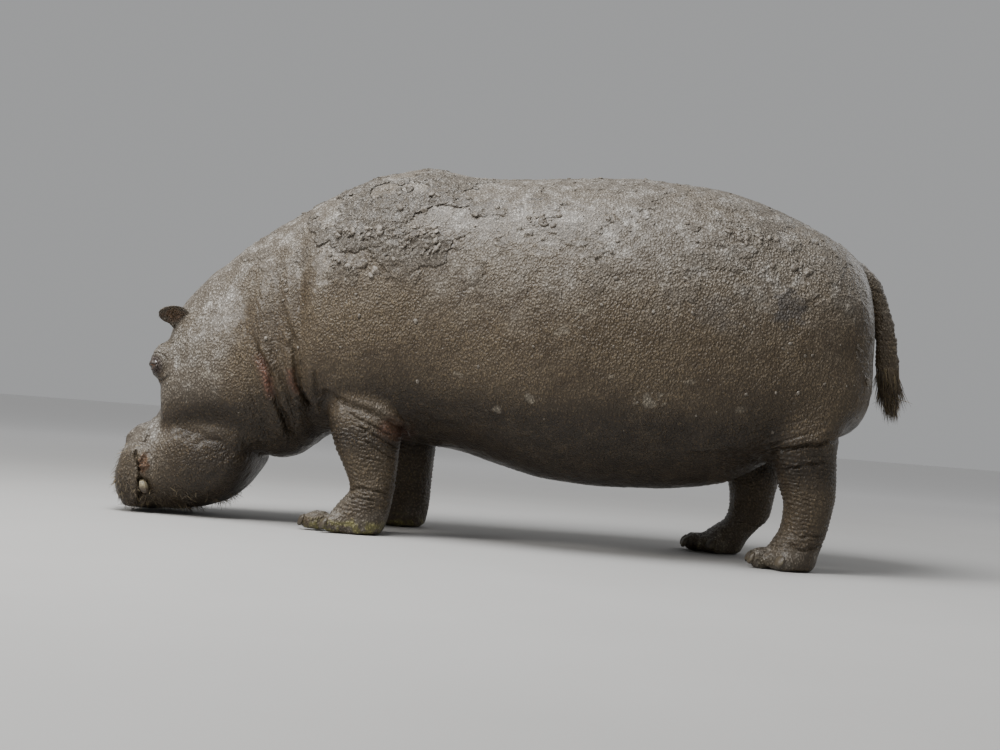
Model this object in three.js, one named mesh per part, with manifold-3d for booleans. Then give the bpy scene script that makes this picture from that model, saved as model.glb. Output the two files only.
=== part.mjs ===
// A hippopotamus standing with its head lowered to the ground, as a still, life-size model.
// Millimetres. The nose points to -X, the animal's left side faces -Y, +Z is up and Z = 0 is the floor.
// The body is modelled whole from lofts and then parted by thin cuts into the pieces a person would name.

import * as THREE from 'three';
import { mergeVertices } from 'three/addons/utils/BufferGeometryUtils.js';
import Module from 'manifold-3d';

const wasm = await Module();
wasm.setup();

// ---------------------------------------------------------------- driving dimensions

const partingGap = 0.4; // left between two pieces of the body that a cut has parted
const trunkFacets = 26; // around the trunk
const headFacets = 20; // around the head and the lower jaw
const legFacets = 14; // around a leg
const toeFacets = 7; // around a toe
const nailFacets = 6; // around a nail
const earFacets = 9; // around an ear
const hollowFacets = 8; // around the hollow of an ear
const eyeFacets = 8; // around an eye or a canine
const tailFacets = 9; // around the tail
const lumpFacets = 10; // around the bulge of an eye socket or a nostril
const ballRows = 0.6; // rows of facets down a ball, as a share of those around it
const weld = 1e-3; // nearer than this, two points are one
const rootGap = 0.8; // from the root of an ear or the tail to the body
const legSquare = 2.3; // how boxy a leg's flat sections are, where 2 is an ellipse
const roundSquare = 2;

// Stations along the body, from the rump to the front of the cheeks. Each is an upright or leaning
// section: top and low are its highest and lowest points as [x, z], half is its half-width, wide is
// the share of its height where it is widest, and square tells how boxy it is (2 is an ellipse).
const bodyStations = [
  { name: 'rump end', top: [1376, 890], low: [1376, 690], half: 110, wide: 0.5, square: 2.2 },
  { name: 'buttocks', top: [1360, 1050], low: [1356, 552], half: 250, wide: 0.42, square: 2.4 },
  { name: 'tail root', top: [1312, 1160], low: [1290, 488], half: 345, wide: 0.38, square: 2.5 },
  { name: 'pin bones', top: [1200, 1244], low: [1140, 446], half: 412, wide: 0.36, square: 2.55 },
  { name: 'hips', top: [1030, 1324], low: [970, 335], half: 458, wide: 0.38, square: 2.4 },
  { name: 'croup', top: [900, 1374], low: [860, 278], half: 482, wide: 0.42, square: 2.3 },
  { name: 'loins', top: [720, 1410], low: [700, 248], half: 505, wide: 0.44, square: 2.25 },
  { name: 'barrel', top: [440, 1424], low: [430, 230], half: 522, wide: 0.43, square: 2.2 },
  { name: 'ribs', top: [180, 1408], low: [190, 243], half: 508, wide: 0.43, square: 2.2 },
  { name: 'girth', top: [-20, 1396], low: [10, 282], half: 478, wide: 0.43, square: 2.2 },
  { name: 'behind withers', top: [-170, 1397], low: [-130, 318], half: 447, wide: 0.43, square: 2.2 },
  { name: 'withers', top: [-330, 1417], low: [-280, 338], half: 422, wide: 0.41, square: 2.25 },
  { name: 'shoulder top', top: [-450, 1396], low: [-390, 352], half: 408, wide: 0.4, square: 2.3 },
  { name: 'shoulder points', top: [-590, 1347], low: [-510, 362], half: 392, wide: 0.38, square: 2.35 },
  { name: 'shoulder edge', top: [-745, 1266], low: [-640, 352], half: 364, wide: 0.38, square: 2.3 },
  { name: 'shoulder crease', top: [-800, 1233], low: [-685, 335], half: 324, wide: 0.41, square: 2.15 },
  { name: 'neck roll', top: [-850, 1201], low: [-712, 308], half: 331, wide: 0.4, square: 2.15 },
  { name: 'neck fold', top: [-905, 1166], low: [-742, 288], half: 310, wide: 0.4, square: 2.15 },
  { name: 'neck', top: [-975, 1116], low: [-775, 262], half: 314, wide: 0.4, square: 2.15 },
  { name: 'throat crease', top: [-1050, 1060], low: [-822, 247], half: 292, wide: 0.4, square: 2.15 },
  { name: 'cheek back', top: [-1125, 992], low: [-862, 242], half: 291, wide: 0.37, square: 2.15 },
  { name: 'cheek', top: [-1215, 890], low: [-915, 255], half: 285, wide: 0.36, square: 2.2 },
  { name: 'cheek front', top: [-1272, 800], low: [-1000, 285], half: 268, wide: 0.36, square: 2.3 },
  { name: 'temple', top: [-1302, 690], low: [-1100, 295], half: 246, wide: 0.36, square: 2.3 },
  { name: 'face side', top: [-1318, 600], low: [-1190, 290], half: 222, wide: 0.36, square: 2.3 },
  { name: 'muzzle root', top: [-1320, 500], low: [-1260, 290], half: 195, wide: 0.4, square: 2.3 },
];

// The skull and the upper jaw, from behind the ears down the face to the upper lip.
const faceStations = [
  { name: 'nape', top: [-1150, 955], low: [-960, 760], half: 180, wide: 0.4, square: 2.3 },
  { name: 'poll', top: [-1276, 800], low: [-1000, 590], half: 196, wide: 0.5, square: 2.5 },
  { name: 'forehead', top: [-1310, 690], low: [-1015, 500], half: 203, wide: 0.5, square: 2.5 },
  { name: 'eyes', top: [-1318, 590], low: [-1040, 430], half: 203, wide: 0.5, square: 2.5 },
  { name: 'bridge', top: [-1322, 500], low: [-1075, 370], half: 188, wide: 0.5, square: 2.5 },
  { name: 'waist of the nose', top: [-1332, 412], low: [-1110, 310], half: 176, wide: 0.5, square: 2.5 },
  { name: 'nose rise', top: [-1368, 352], low: [-1150, 255], half: 184, wide: 0.55, square: 2.6 },
  { name: 'nostrils', top: [-1422, 300], low: [-1190, 200], half: 204, wide: 0.55, square: 2.7 },
  { name: 'lip pads', top: [-1460, 230], low: [-1225, 150], half: 221, wide: 0.55, square: 2.7 },
  { name: 'lip front', top: [-1475, 150], low: [-1260, 100], half: 224, wide: 0.55, square: 2.7 },
  { name: 'lip', top: [-1468, 75], low: [-1290, 50], half: 210, wide: 0.55, square: 2.6 },
  { name: 'lip edge', top: [-1436, 14], low: [-1320, 12], half: 172, wide: 0.55, square: 2.5 },
];

// The lower jaw, from its angle at the throat forward to the chin.
const jawStations = [
  { name: 'jaw root', top: [-903, 330], low: [-915, 245], half: 150, wide: 0.5, square: 2.3 },
  { name: 'jaw angle', top: [-935, 410], low: [-948, 172], half: 222, wide: 0.55, square: 2.4 },
  { name: 'jowl', top: [-1000, 430], low: [-1018, 84], half: 252, wide: 0.58, square: 2.4 },
  { name: 'jaw body', top: [-1100, 430], low: [-1120, 32], half: 254, wide: 0.6, square: 2.4 },
  { name: 'jaw waist', top: [-1200, 410], low: [-1220, 11], half: 238, wide: 0.6, square: 2.4 },
  { name: 'lower lip', top: [-1290, 350], low: [-1300, 8], half: 223, wide: 0.55, square: 2.5 },
  { name: 'chin', top: [-1345, 270], low: [-1350, 9], half: 205, wide: 0.5, square: 2.5 },
  { name: 'chin front', top: [-1385, 180], low: [-1385, 18], half: 160, wide: 0.5, square: 2.5 },
];

// Stations down a leg: flat sections at height z, with their middle at x and, outward from the
// animal's middle plane, at y. halfX and halfY are half their length and width. The right leg
// stands where rightX moves the section along the body.
const foreLegStations = [
  { name: 'shoulder', z: 680, x: -480, y: 205, halfX: 120, halfY: 90, rightX: 65 },
  { name: 'upper arm', z: 550, x: -494, y: 222, halfX: 156, halfY: 102, rightX: 65 },
  { name: 'elbow', z: 420, x: -478, y: 255, halfX: 145, halfY: 111, rightX: 65 },
  { name: 'forearm', z: 320, x: -464, y: 264, halfX: 126, halfY: 105, rightX: 65 },
  { name: 'above the wrist', z: 226, x: -442, y: 264, halfX: 100, halfY: 96, rightX: 65 },
  { name: 'wrist', z: 160, x: -434, y: 264, halfX: 87, halfY: 92, rightX: 68 },
  { name: 'palm top', z: 115, x: -454, y: 265, halfX: 102, halfY: 96, rightX: 72 },
  { name: 'palm', z: 64, x: -476, y: 266, halfX: 114, halfY: 102, rightX: 78 },
  { name: 'pad', z: 25, x: -484, y: 266, halfX: 112, halfY: 103, rightX: 80 },
  { name: 'sole', z: -14, x: -484, y: 266, halfX: 96, halfY: 90, rightX: 80 },
];
const hindLegStations = [
  { name: 'thigh', z: 800, x: 1120, y: 190, halfX: 180, halfY: 160, rightX: -60 },
  { name: 'stifle', z: 630, x: 1140, y: 232, halfX: 190, halfY: 160, rightX: -60 },
  { name: 'knee', z: 500, x: 1136, y: 266, halfX: 158, halfY: 142, rightX: -80 },
  { name: 'shank', z: 390, x: 1148, y: 274, halfX: 138, halfY: 118, rightX: -112 },
  { name: 'above the hock', z: 310, x: 1162, y: 272, halfX: 122, halfY: 106, rightX: -140 },
  { name: 'hock', z: 235, x: 1166, y: 268, halfX: 100, halfY: 96, rightX: -150 },
  { name: 'pastern', z: 150, x: 1150, y: 266, halfX: 89, halfY: 90, rightX: -153 },
  { name: 'instep', z: 105, x: 1130, y: 266, halfX: 95, halfY: 95, rightX: -178 },
  { name: 'foot', z: 62, x: 1112, y: 266, halfX: 100, halfY: 100, rightX: -202 },
  { name: 'pad', z: 25, x: 1106, y: 266, halfX: 98, halfY: 102, rightX: -212 },
  { name: 'sole', z: -14, x: 1104, y: 266, halfX: 84, halfY: 88, rightX: -212 },
];
const legs = [
  { name: 'fore', side: 'left', sign: -1, stations: foreLegStations, frontToes: 148, sideToes: 62 },
  { name: 'fore', side: 'right', sign: 1, stations: foreLegStations, frontToes: 148, sideToes: 62 },
  { name: 'hind', side: 'left', sign: -1, stations: hindLegStations, frontToes: 92, sideToes: 4 },
  { name: 'hind', side: 'right', sign: 1, stations: hindLegStations, frontToes: 92, sideToes: 4 },
];

// Four toes to a foot, from the inner one out: two in front and one on each side, as far ahead of
// the middle of the pad as the leg says. out is how far outward the toe stands and turn is the
// angle it points outward by.
const toes = [
  { row: 'sideToes', out: -72, turn: -34 },
  { row: 'frontToes', out: -40, turn: -8 },
  { row: 'frontToes', out: 34, turn: 8 },
  { row: 'sideToes', out: 72, turn: 34 },
];
const toeSize = { long: 58, wide: 40, tall: 46, height: 32 }; // half sizes, and height of the middle
const nailSize = { deep: 13, wide: 25, tall: 25, height: 38, lean: 24, reach: 0.86 }; // half sizes, degrees

// The tail's middle line from its root down, as x and z, with half its depth along the body and half
// its thickness across. Below tuftTop it is the bristly tip.
const tailStations = [
  { x: 1318, z: 1118, deep: 52, thick: 50 },
  { x: 1376, z: 1074, deep: 45, thick: 40 },
  { x: 1422, z: 998, deep: 36, thick: 31 },
  { x: 1448, z: 915, deep: 35, thick: 27 },
  { x: 1464, z: 835, deep: 40, thick: 25 },
  { x: 1476, z: 762, deep: 46, thick: 23 },
  { x: 1486, z: 700, deep: 46, thick: 20 },
  { x: 1493, z: 650, deep: 30, thick: 14 },
  { x: 1497, z: 612, deep: 9, thick: 6 },
];
const tuftTop = 758;

// The ears: from root to tip, with the opening facing forward and outward. A station's at is its
// share of the length, and width and thickness are shares of the ear's own.
const ear = { root: [-1160, 136, 704], tip: [-1316, 206, 782], opening: [-0.22, 0.92, -0.32] };
const earSize = { halfWidth: 50, halfThickness: 22 };
const earStations = [
  { at: 0, width: 0.62, thickness: 1.1 },
  { at: 0.25, width: 0.86, thickness: 1.05 },
  { at: 0.5, width: 1, thickness: 0.9 },
  { at: 0.75, width: 0.9, thickness: 0.7 },
  { at: 0.92, width: 0.6, thickness: 0.45 },
  { at: 1, width: 0.24, thickness: 0.25 },
];
const earHollow = { at: 0.66, halfWidth: 33, halfThickness: 15, halfLength: 44 };
const orbit = { middle: [-1294, 148, 586], halfSizes: [64, 62, 84], lean: 14 };
const eye = { radius: 23, forward: 46, look: [-0.6, 0.7, -0.38] }; // forward of the orbit's middle
const nostril = { middle: [-1402, 96, 294], halfSizes: [30, 46, 54], lean: 40 };
const canine = { middle: [-1322, 204, 106], halfSizes: [19, 24, 28] };

// Where the body is parted, as outlines of [x, z] seen from the side, which reach past it.
const farAway = 3000;
const under = -60;
const over = 1600;
const headOutline = [
  [-farAway, under], [-738, under], [-822, 247], [-1050, 1060], [-1134, 1360], [-farAway, 1360],
];
const jawOutline = [
  [-1352, under], [-1352, 190], [-1342, 260], [-1305, 315], [-1230, 345], [-1150, 354], [-1030, 345],
  [-940, 300], [-893, 236], [-700, 236], [-700, under],
];
const neckOutline = [
  [-farAway, under], [-634, under], [-685, 335], [-800, 1233], [-847, over], [-farAway, over],
];
const shouldersOutline = [[-farAway, under], [-120, under], [-120, over], [-farAway, over]];
const rumpOutline = [[860, under], [farAway, under], [farAway, over], [860, over]];
const tuftOutline = [[0, under], [farAway, under], [farAway, tuftTop], [0, tuftTop]];
const legOutlines = {
  foreleft: [
    [-760, under], [-760, 130], [-560, 190], [-630, 400],
    [-650, 500], [-330, 345], [-290, 300], [-290, under],
  ],
  foreright: [
    [-695, under], [-695, 130], [-495, 190], [-565, 400],
    [-585, 500], [-265, 345], [-225, 300], [-225, under],
  ],
  hindleft: [
    [900, under], [900, 150], [990, 250], [985, 395], [1265, 480], [farAway, 480], [farAway, under],
  ],
  hindright: [
    [690, under], [690, 110], [860, 200], [875, 385], [1180, 450], [farAway, 480], [farAway, under],
  ],
};
const legInside = 125; // how near the animal's middle plane a leg's piece reaches
const ankleHeights = { fore: 160, hind: 148 };
const ahead = [-1, 0]; // directions of [x, z]
const rearward = [1, 0];
const upward = [0, 1];

// ---------------------------------------------------------------- shape helpers

function toSolid(geometry) {
  const bare = geometry.clone();
  bare.deleteAttribute('normal');
  bare.deleteAttribute('uv');
  const merged = mergeVertices(bare, weld);
  const vertProperties = new Float32Array(merged.attributes.position.array);
  const triVerts = new Uint32Array(merged.index.array);
  return new wasm.Manifold(new wasm.Mesh({ numProp: 3, vertProperties, triVerts }));
}

function toGeometry(solid) {
  const { numProp, vertProperties, triVerts } = solid.getMesh();
  const geometry = new THREE.BufferGeometry();
  const count = vertProperties.length / numProp;
  const positions = new Float32Array(count * 3);
  for (let i = 0; i < count; i += 1) {
    for (let k = 0; k < 3; k += 1) {
      positions[i * 3 + k] = vertProperties[i * numProp + k];
    }
  }
  geometry.setAttribute('position', new THREE.BufferAttribute(positions, 3));
  geometry.setIndex(new THREE.BufferAttribute(new Uint32Array(triVerts), 1));
  geometry.computeVertexNormals();
  return geometry;
}

function join(solids) {
  return solids.reduce((a, b) => a.add(b));
}

// Power of a sine or cosine that keeps its sign, for boxy ellipses.
function signedPower(value, power) {
  return Math.sign(value) * Math.abs(value) ** power;
}

// A closed tube through rings of points, each end closed by a fan about its middle.
function loft(rings) {
  const facets = rings[0].length;
  const positions = [];
  const indices = [];
  rings.forEach((ring) => ring.forEach((p) => positions.push(p.x, p.y, p.z)));
  for (let r = 0; r + 1 < rings.length; r += 1) {
    for (let s = 0; s < facets; s += 1) {
      const a = r * facets + s;
      const b = r * facets + ((s + 1) % facets);
      indices.push(a, a + facets, b, b, a + facets, b + facets);
    }
  }
  [0, rings.length - 1].forEach((r) => {
    const middle = new THREE.Vector3();
    rings[r].forEach((p) => middle.addScaledVector(p, 1 / facets));
    const hub = positions.length / 3;
    positions.push(middle.x, middle.y, middle.z);
    for (let s = 0; s < facets; s += 1) {
      const a = r * facets + s;
      const b = r * facets + ((s + 1) % facets);
      indices.push(hub, r === 0 ? a : b, r === 0 ? b : a);
    }
  });
  const geometry = new THREE.BufferGeometry();
  geometry.setAttribute('position', new THREE.Float32BufferAttribute(positions, 3));
  geometry.setIndex(indices);
  return geometry;
}

// A boxy ellipse of points about a middle, from one half-axis round to the other.
function ovalRing(middle, axisA, axisB, facets, square) {
  const ring = [];
  for (let s = 0; s < facets; s += 1) {
    const angle = (2 * Math.PI * s) / facets;
    ring.push(middle.clone()
      .addScaledVector(axisA, signedPower(Math.cos(angle), 2 / square))
      .addScaledVector(axisB, signedPower(Math.sin(angle), 2 / square)));
  }
  return ring;
}

// A body section in the plane through its top and low points, widest part-way up.
function stationRing({ top, low, half, wide, square }, facets) {
  const topPoint = new THREE.Vector3(top[0], 0, top[1]);
  const lowPoint = new THREE.Vector3(low[0], 0, low[1]);
  const widest = lowPoint.clone().lerp(topPoint, wide);
  const ring = [];
  for (let s = 0; s < facets; s += 1) {
    const angle = (2 * Math.PI * s) / facets;
    const along = signedPower(Math.sin(angle), 2 / square);
    const point = widest.clone().lerp(along > 0 ? topPoint : lowPoint, Math.abs(along));
    point.y += half * signedPower(Math.cos(angle), 2 / square);
    ring.push(point);
  }
  return ring;
}

function stationLoft(stations, facets) {
  return toSolid(loft(stations.map((station) => stationRing(station, facets))));
}

// A ball stretched to three half sizes, leant about the Y axis and turned about the upright one.
function ellipsoid(middle, [halfX, halfY, halfZ], facets, lean = 0, turn = 0) {
  const geometry = new THREE.SphereGeometry(1, facets, Math.ceil(facets * ballRows));
  geometry.scale(halfX, halfY, halfZ);
  geometry.rotateY(THREE.MathUtils.degToRad(lean));
  geometry.rotateZ(THREE.MathUtils.degToRad(turn));
  geometry.translate(...middle);
  return toSolid(geometry);
}

// A block with the given outline of [x, z] points, reaching from one y to another.
function block(outline, fromY, toY) {
  const shape = new THREE.Shape(outline.map(([x, z]) => new THREE.Vector2(x, z)));
  const geometry = new THREE.ExtrudeGeometry(shape, { depth: toY - fromY, bevelEnabled: false });
  geometry.rotateX(Math.PI / 2);
  geometry.translate(0, toY, 0);
  return toSolid(geometry);
}

// Parts a body in two where a block covers it. The rest keeps the parting gap to the piece, by
// being cut with the block moved that far along each of the given directions of [x, z].
function partOff(body, outline, fromY, toY, directions) {
  const piece = body.intersect(block(outline, fromY, toY));
  let rest = body.subtract(block(outline, fromY, toY));
  directions.forEach(([alongX, alongZ]) => {
    const movedOutline = outline.map(([x, z]) => [x + alongX * partingGap, z + alongZ * partingGap]);
    rest = rest.subtract(block(movedOutline, fromY - partingGap, toY + partingGap));
  });
  return { piece, rest };
}

// ---------------------------------------------------------------- legs, feet, toes and nails

function legSolid({ sign, stations }) {
  const rings = stations.map(({ z, x, y, halfX, halfY, rightX }) => {
    const middle = new THREE.Vector3(x + (sign > 0 ? rightX : 0), sign * y, z);
    const along = new THREE.Vector3(halfX, 0, 0);
    const across = new THREE.Vector3(0, halfY, 0);
    return ovalRing(middle, along, across, legFacets, legSquare);
  });
  return toSolid(loft(rings));
}

// The middle of each toe of a foot and the angle it turns by.
function toePlaces(leg) {
  const pad = leg.stations.find(({ name }) => name === 'pad');
  const padX = pad.x + (leg.sign > 0 ? pad.rightX : 0);
  return toes.map(({ row, out, turn }) => (
    { x: padX - leg[row], y: leg.sign * (pad.y + out), turn: turn * -leg.sign }
  ));
}

function toeSolid({ x, y, turn }) {
  const { long, wide, tall, height } = toeSize;
  return ellipsoid([x, y, height], [long, wide, tall], toeFacets, 0, turn);
}

function nailSolid({ x, y, turn }, growth) {
  const { deep, wide, tall, height, lean } = nailSize;
  const angle = THREE.MathUtils.degToRad(turn);
  const distance = toeSize.long * nailSize.reach;
  const middle = [x - distance * Math.cos(angle), y - distance * Math.sin(angle), height];
  const size = [deep, wide, tall].map((half) => half + growth);
  return ellipsoid(middle, size, nailFacets, lean, turn);
}

// ---------------------------------------------------------------- tail, ears, eyes and teeth

function tailLoft(stations) {
  const line = new THREE.CatmullRomCurve3(stations.map(({ x, z }) => new THREE.Vector3(x, 0, z)));
  const rings = stations.map(({ x, z, deep, thick }, i) => {
    const downward = line.getTangent(i / (stations.length - 1));
    const depth = new THREE.Vector3(-downward.z, 0, downward.x).multiplyScalar(deep);
    const across = new THREE.Vector3(0, thick, 0);
    return ovalRing(new THREE.Vector3(x, 0, z), depth, across, tailFacets, roundSquare);
  });
  return toSolid(loft(rings));
}

// A solid moved bodily by a short way.
function moved(solid, offset) {
  const geometry = toGeometry(solid);
  geometry.translate(...offset);
  return toSolid(geometry);
}

function mirrored([x, y, z], sign) {
  return [x, sign * y, z];
}

// An ear as a loft about its own axis, hollowed from the side of its opening.
function earSolid(sign) {
  const root = new THREE.Vector3(...mirrored(ear.root, sign));
  const tip = new THREE.Vector3(...mirrored(ear.tip, sign));
  const axis = tip.clone().sub(root).normalize();
  const opening = new THREE.Vector3(...mirrored(ear.opening, sign));
  opening.addScaledVector(axis, -opening.dot(axis)).normalize();
  const width = axis.clone().cross(opening);
  const rings = earStations.map((station) => ovalRing(
    root.clone().lerp(tip, station.at),
    width.clone().multiplyScalar(earSize.halfWidth * station.width),
    opening.clone().multiplyScalar(earSize.halfThickness * station.thickness),
    earFacets,
    roundSquare,
  ));
  const hollow = new THREE.SphereGeometry(1, hollowFacets, Math.ceil(hollowFacets * ballRows));
  hollow.scale(earHollow.halfThickness, earHollow.halfWidth, earHollow.halfLength);
  hollow.applyMatrix4(new THREE.Matrix4().makeBasis(opening, width, axis));
  const middle = root.clone().lerp(tip, earHollow.at).addScaledVector(opening, earSize.halfThickness);
  hollow.translate(middle.x, middle.y, middle.z);
  return { solid: toSolid(loft(rings)).subtract(toSolid(hollow)), axis };
}

function eyeSolid(sign, growth) {
  const look = new THREE.Vector3(...mirrored(eye.look, sign)).normalize();
  const middle = new THREE.Vector3(...mirrored(orbit.middle, sign));
  middle.addScaledVector(look, eye.forward);
  const size = eye.radius + growth;
  return ellipsoid(middle.toArray(), [size, size, size], eyeFacets);
}

function canineSolid(sign, growth) {
  const size = canine.halfSizes.map((half) => half + growth);
  return ellipsoid(mirrored(canine.middle, sign), size, eyeFacets);
}

// ---------------------------------------------------------------- the animal

const bothSides = [
  { side: 'left', sign: -1 },
  { side: 'right', sign: 1 },
];
const finishes = {
  hide: { color: 0x655f55, roughness: 0.62 },
  earSkin: { color: 0x7d6252, roughness: 0.6 },
  eyeball: { color: 0x2a1c14, roughness: 0.12 },
  tusk: { color: 0xa9a884, roughness: 0.45 },
  nail: { color: 0x57523f, roughness: 0.55 },
  bristle: { color: 0x241f1b, roughness: 0.7 },
};

const animal = new THREE.Group();
function addPiece(name, solid, finish) {
  const material = new THREE.MeshStandardMaterial({ ...finishes[finish], metalness: 0 });
  const mesh = new THREE.Mesh(toGeometry(solid), material);
  mesh.name = name;
  animal.add(mesh);
}

const aboveFloor = [[-farAway, 0], [farAway, 0], [farAway, farAway], [-farAway, farAway]];
const flesh = join([
  stationLoft(bodyStations, trunkFacets),
  stationLoft(faceStations, headFacets),
  stationLoft(jawStations, headFacets),
  ...legs.map(legSolid),
  ...legs.flatMap((leg) => toePlaces(leg).map(toeSolid)),
  ...bothSides.flatMap(({ sign }) => [orbit, nostril].map(({ middle, halfSizes, lean }) => (
    ellipsoid(mirrored(middle, sign), halfSizes, lumpFacets, lean)
  ))),
]).intersect(block(aboveFloor, -farAway, farAway));

const sockets = join([
  ...bothSides.flatMap(({ sign }) => [eyeSolid(sign, partingGap), canineSolid(sign, partingGap)]),
  ...legs.flatMap((leg) => toePlaces(leg).map((place) => nailSolid(place, partingGap))),
]);
let rest = flesh.subtract(sockets);

legs.forEach(({ name, side, sign }) => {
  const [fromY, toY] = sign < 0 ? [-farAway, -legInside] : [legInside, farAway];
  const leg = partOff(rest, legOutlines[name + side], fromY, toY, [ahead, upward]);
  rest = leg.rest;
  const ankle = ankleHeights[name];
  const footOutline = [[-farAway, under], [farAway, under], [farAway, ankle], [-farAway, ankle]];
  const foot = partOff(leg.piece, footOutline, -farAway, farAway, [upward]);
  addPiece(`${name}_foot_${side}`, foot.piece, 'hide');
  addPiece(`${name}_leg_${side}`, foot.rest, 'hide');
});

const wholeHead = partOff(rest, headOutline, -farAway, farAway, [rearward]);
const jaw = partOff(wholeHead.piece, jawOutline, -farAway, farAway, [ahead, upward, rearward]);
const neck = partOff(wholeHead.rest, neckOutline, -farAway, farAway, [rearward]);
const shoulders = partOff(neck.rest, shouldersOutline, -farAway, farAway, [rearward]);
const rump = partOff(shoulders.rest, rumpOutline, -farAway, farAway, [ahead]);
addPiece('head', jaw.rest, 'hide');
addPiece('lower_jaw', jaw.piece, 'hide');
addPiece('neck', neck.piece, 'hide');
addPiece('shoulders', shoulders.piece, 'hide');
addPiece('barrel', rump.rest, 'hide');
addPiece('rump', rump.piece, 'hide');

const wholeTail = tailLoft(tailStations).subtract(moved(flesh, [rootGap, 0, 0]));
const tail = partOff(wholeTail, tuftOutline, -farAway, farAway, [upward]);
addPiece('tail', tail.rest, 'hide');
addPiece('tail_tuft', tail.piece, 'bristle');

bothSides.forEach(({ side, sign }) => {
  const { solid, axis } = earSolid(sign);
  const clearOfHead = moved(flesh, axis.clone().multiplyScalar(rootGap).toArray());
  addPiece(`ear_${side}`, solid.subtract(clearOfHead), 'earSkin');
  addPiece(`eye_${side}`, eyeSolid(sign, 0), 'eyeball');
  addPiece(`canine_${side}`, canineSolid(sign, 0), 'tusk');
});

legs.forEach((leg) => toePlaces(leg).forEach((place, i) => {
  addPiece(`nail_${leg.name}_${leg.side}_${i + 1}`, nailSolid(place, 0), 'nail');
}));

// The frame's origin is on the floor under the middle of the animal's box.
const boxMiddle = new THREE.Box3().setFromObject(animal).getCenter(new THREE.Vector3());
animal.position.x = -boxMiddle.x;

export default animal;
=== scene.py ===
import math

import bmesh
import bpy
import numpy as np
import openvdb
from mathutils import Matrix, Vector


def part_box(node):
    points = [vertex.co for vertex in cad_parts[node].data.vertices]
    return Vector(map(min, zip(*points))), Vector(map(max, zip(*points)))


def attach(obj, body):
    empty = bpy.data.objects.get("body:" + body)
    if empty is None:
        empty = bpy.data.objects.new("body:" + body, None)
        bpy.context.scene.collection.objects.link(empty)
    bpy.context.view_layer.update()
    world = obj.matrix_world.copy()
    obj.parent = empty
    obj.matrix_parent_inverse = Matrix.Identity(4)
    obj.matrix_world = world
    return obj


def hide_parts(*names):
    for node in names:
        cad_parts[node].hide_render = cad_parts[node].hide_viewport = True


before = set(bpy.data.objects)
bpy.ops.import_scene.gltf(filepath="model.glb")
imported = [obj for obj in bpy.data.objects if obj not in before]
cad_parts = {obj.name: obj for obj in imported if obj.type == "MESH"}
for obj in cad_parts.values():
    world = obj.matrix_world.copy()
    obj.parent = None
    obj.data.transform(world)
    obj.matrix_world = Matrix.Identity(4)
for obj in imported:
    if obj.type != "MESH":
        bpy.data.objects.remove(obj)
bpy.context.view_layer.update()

# The tables below are in millimetres, with the lips at x -1475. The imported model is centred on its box.
lipsInTables = -1.475
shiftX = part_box("head")[0][0] - lipsInTables
bothSides = {"left": -1, "right": 1}
body = "root"


# noise and curves

latticeSize = 48


def lattice(seed):
    return np.random.default_rng(seed).random((latticeSize,) * 3).astype(np.float32)


def smoothNoise(points, size, seed):
    # values from 0 to 1 that change over about one size
    cells = lattice(seed)
    q = np.asarray(points, np.float32) / size
    base = np.floor(q).astype(np.int64)
    f = q - base
    f = f * f * (3 - 2 * f)
    total = np.zeros(len(q), np.float32)
    for corner in range(8):
        step = np.array([corner & 1, (corner >> 1) & 1, (corner >> 2) & 1])
        weight = np.prod(np.where(step, f, 1 - f), axis=1)
        i, j, k = ((base + step) % latticeSize).T
        total += weight * cells[i, j, k]
    return total


def roughNoise(points, size, seed, layers=3):
    total = 0
    share = 0.5
    for layer in range(layers):
        total = total + share * smoothNoise(points, size / 2 ** layer, seed + layer)
        share /= 2
    return total / (1 - 0.5 ** layers)


def fade(value, start, end):
    # 0 at start, 1 at end, smooth between
    t = np.clip((value - start) / (end - start), 0, 1)
    return t * t * (3 - 2 * t)


def throughRows(rows, between):
    # a Catmull-Rom curve through rows of numbers
    rows = np.asarray(rows, float)
    padded = np.vstack([2 * rows[0] - rows[1], rows, 2 * rows[-1] - rows[-2]])
    t = np.arange(between)[:, None] / between
    out = []
    for i in range(len(rows) - 1):
        a, b, c, d = padded[i:i + 4]
        out.append(0.5 * (2 * b + (c - a) * t + (2 * a - 5 * b + 4 * c - d) * t ** 2
                          + (3 * b - a - 3 * c + d) * t ** 3))
    out.append(rows[-1:])
    return np.vstack(out)


def signedPower(value, power):
    return np.sign(value) * np.abs(value) ** power


# the body's shape, as lofts melted into one skin

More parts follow.
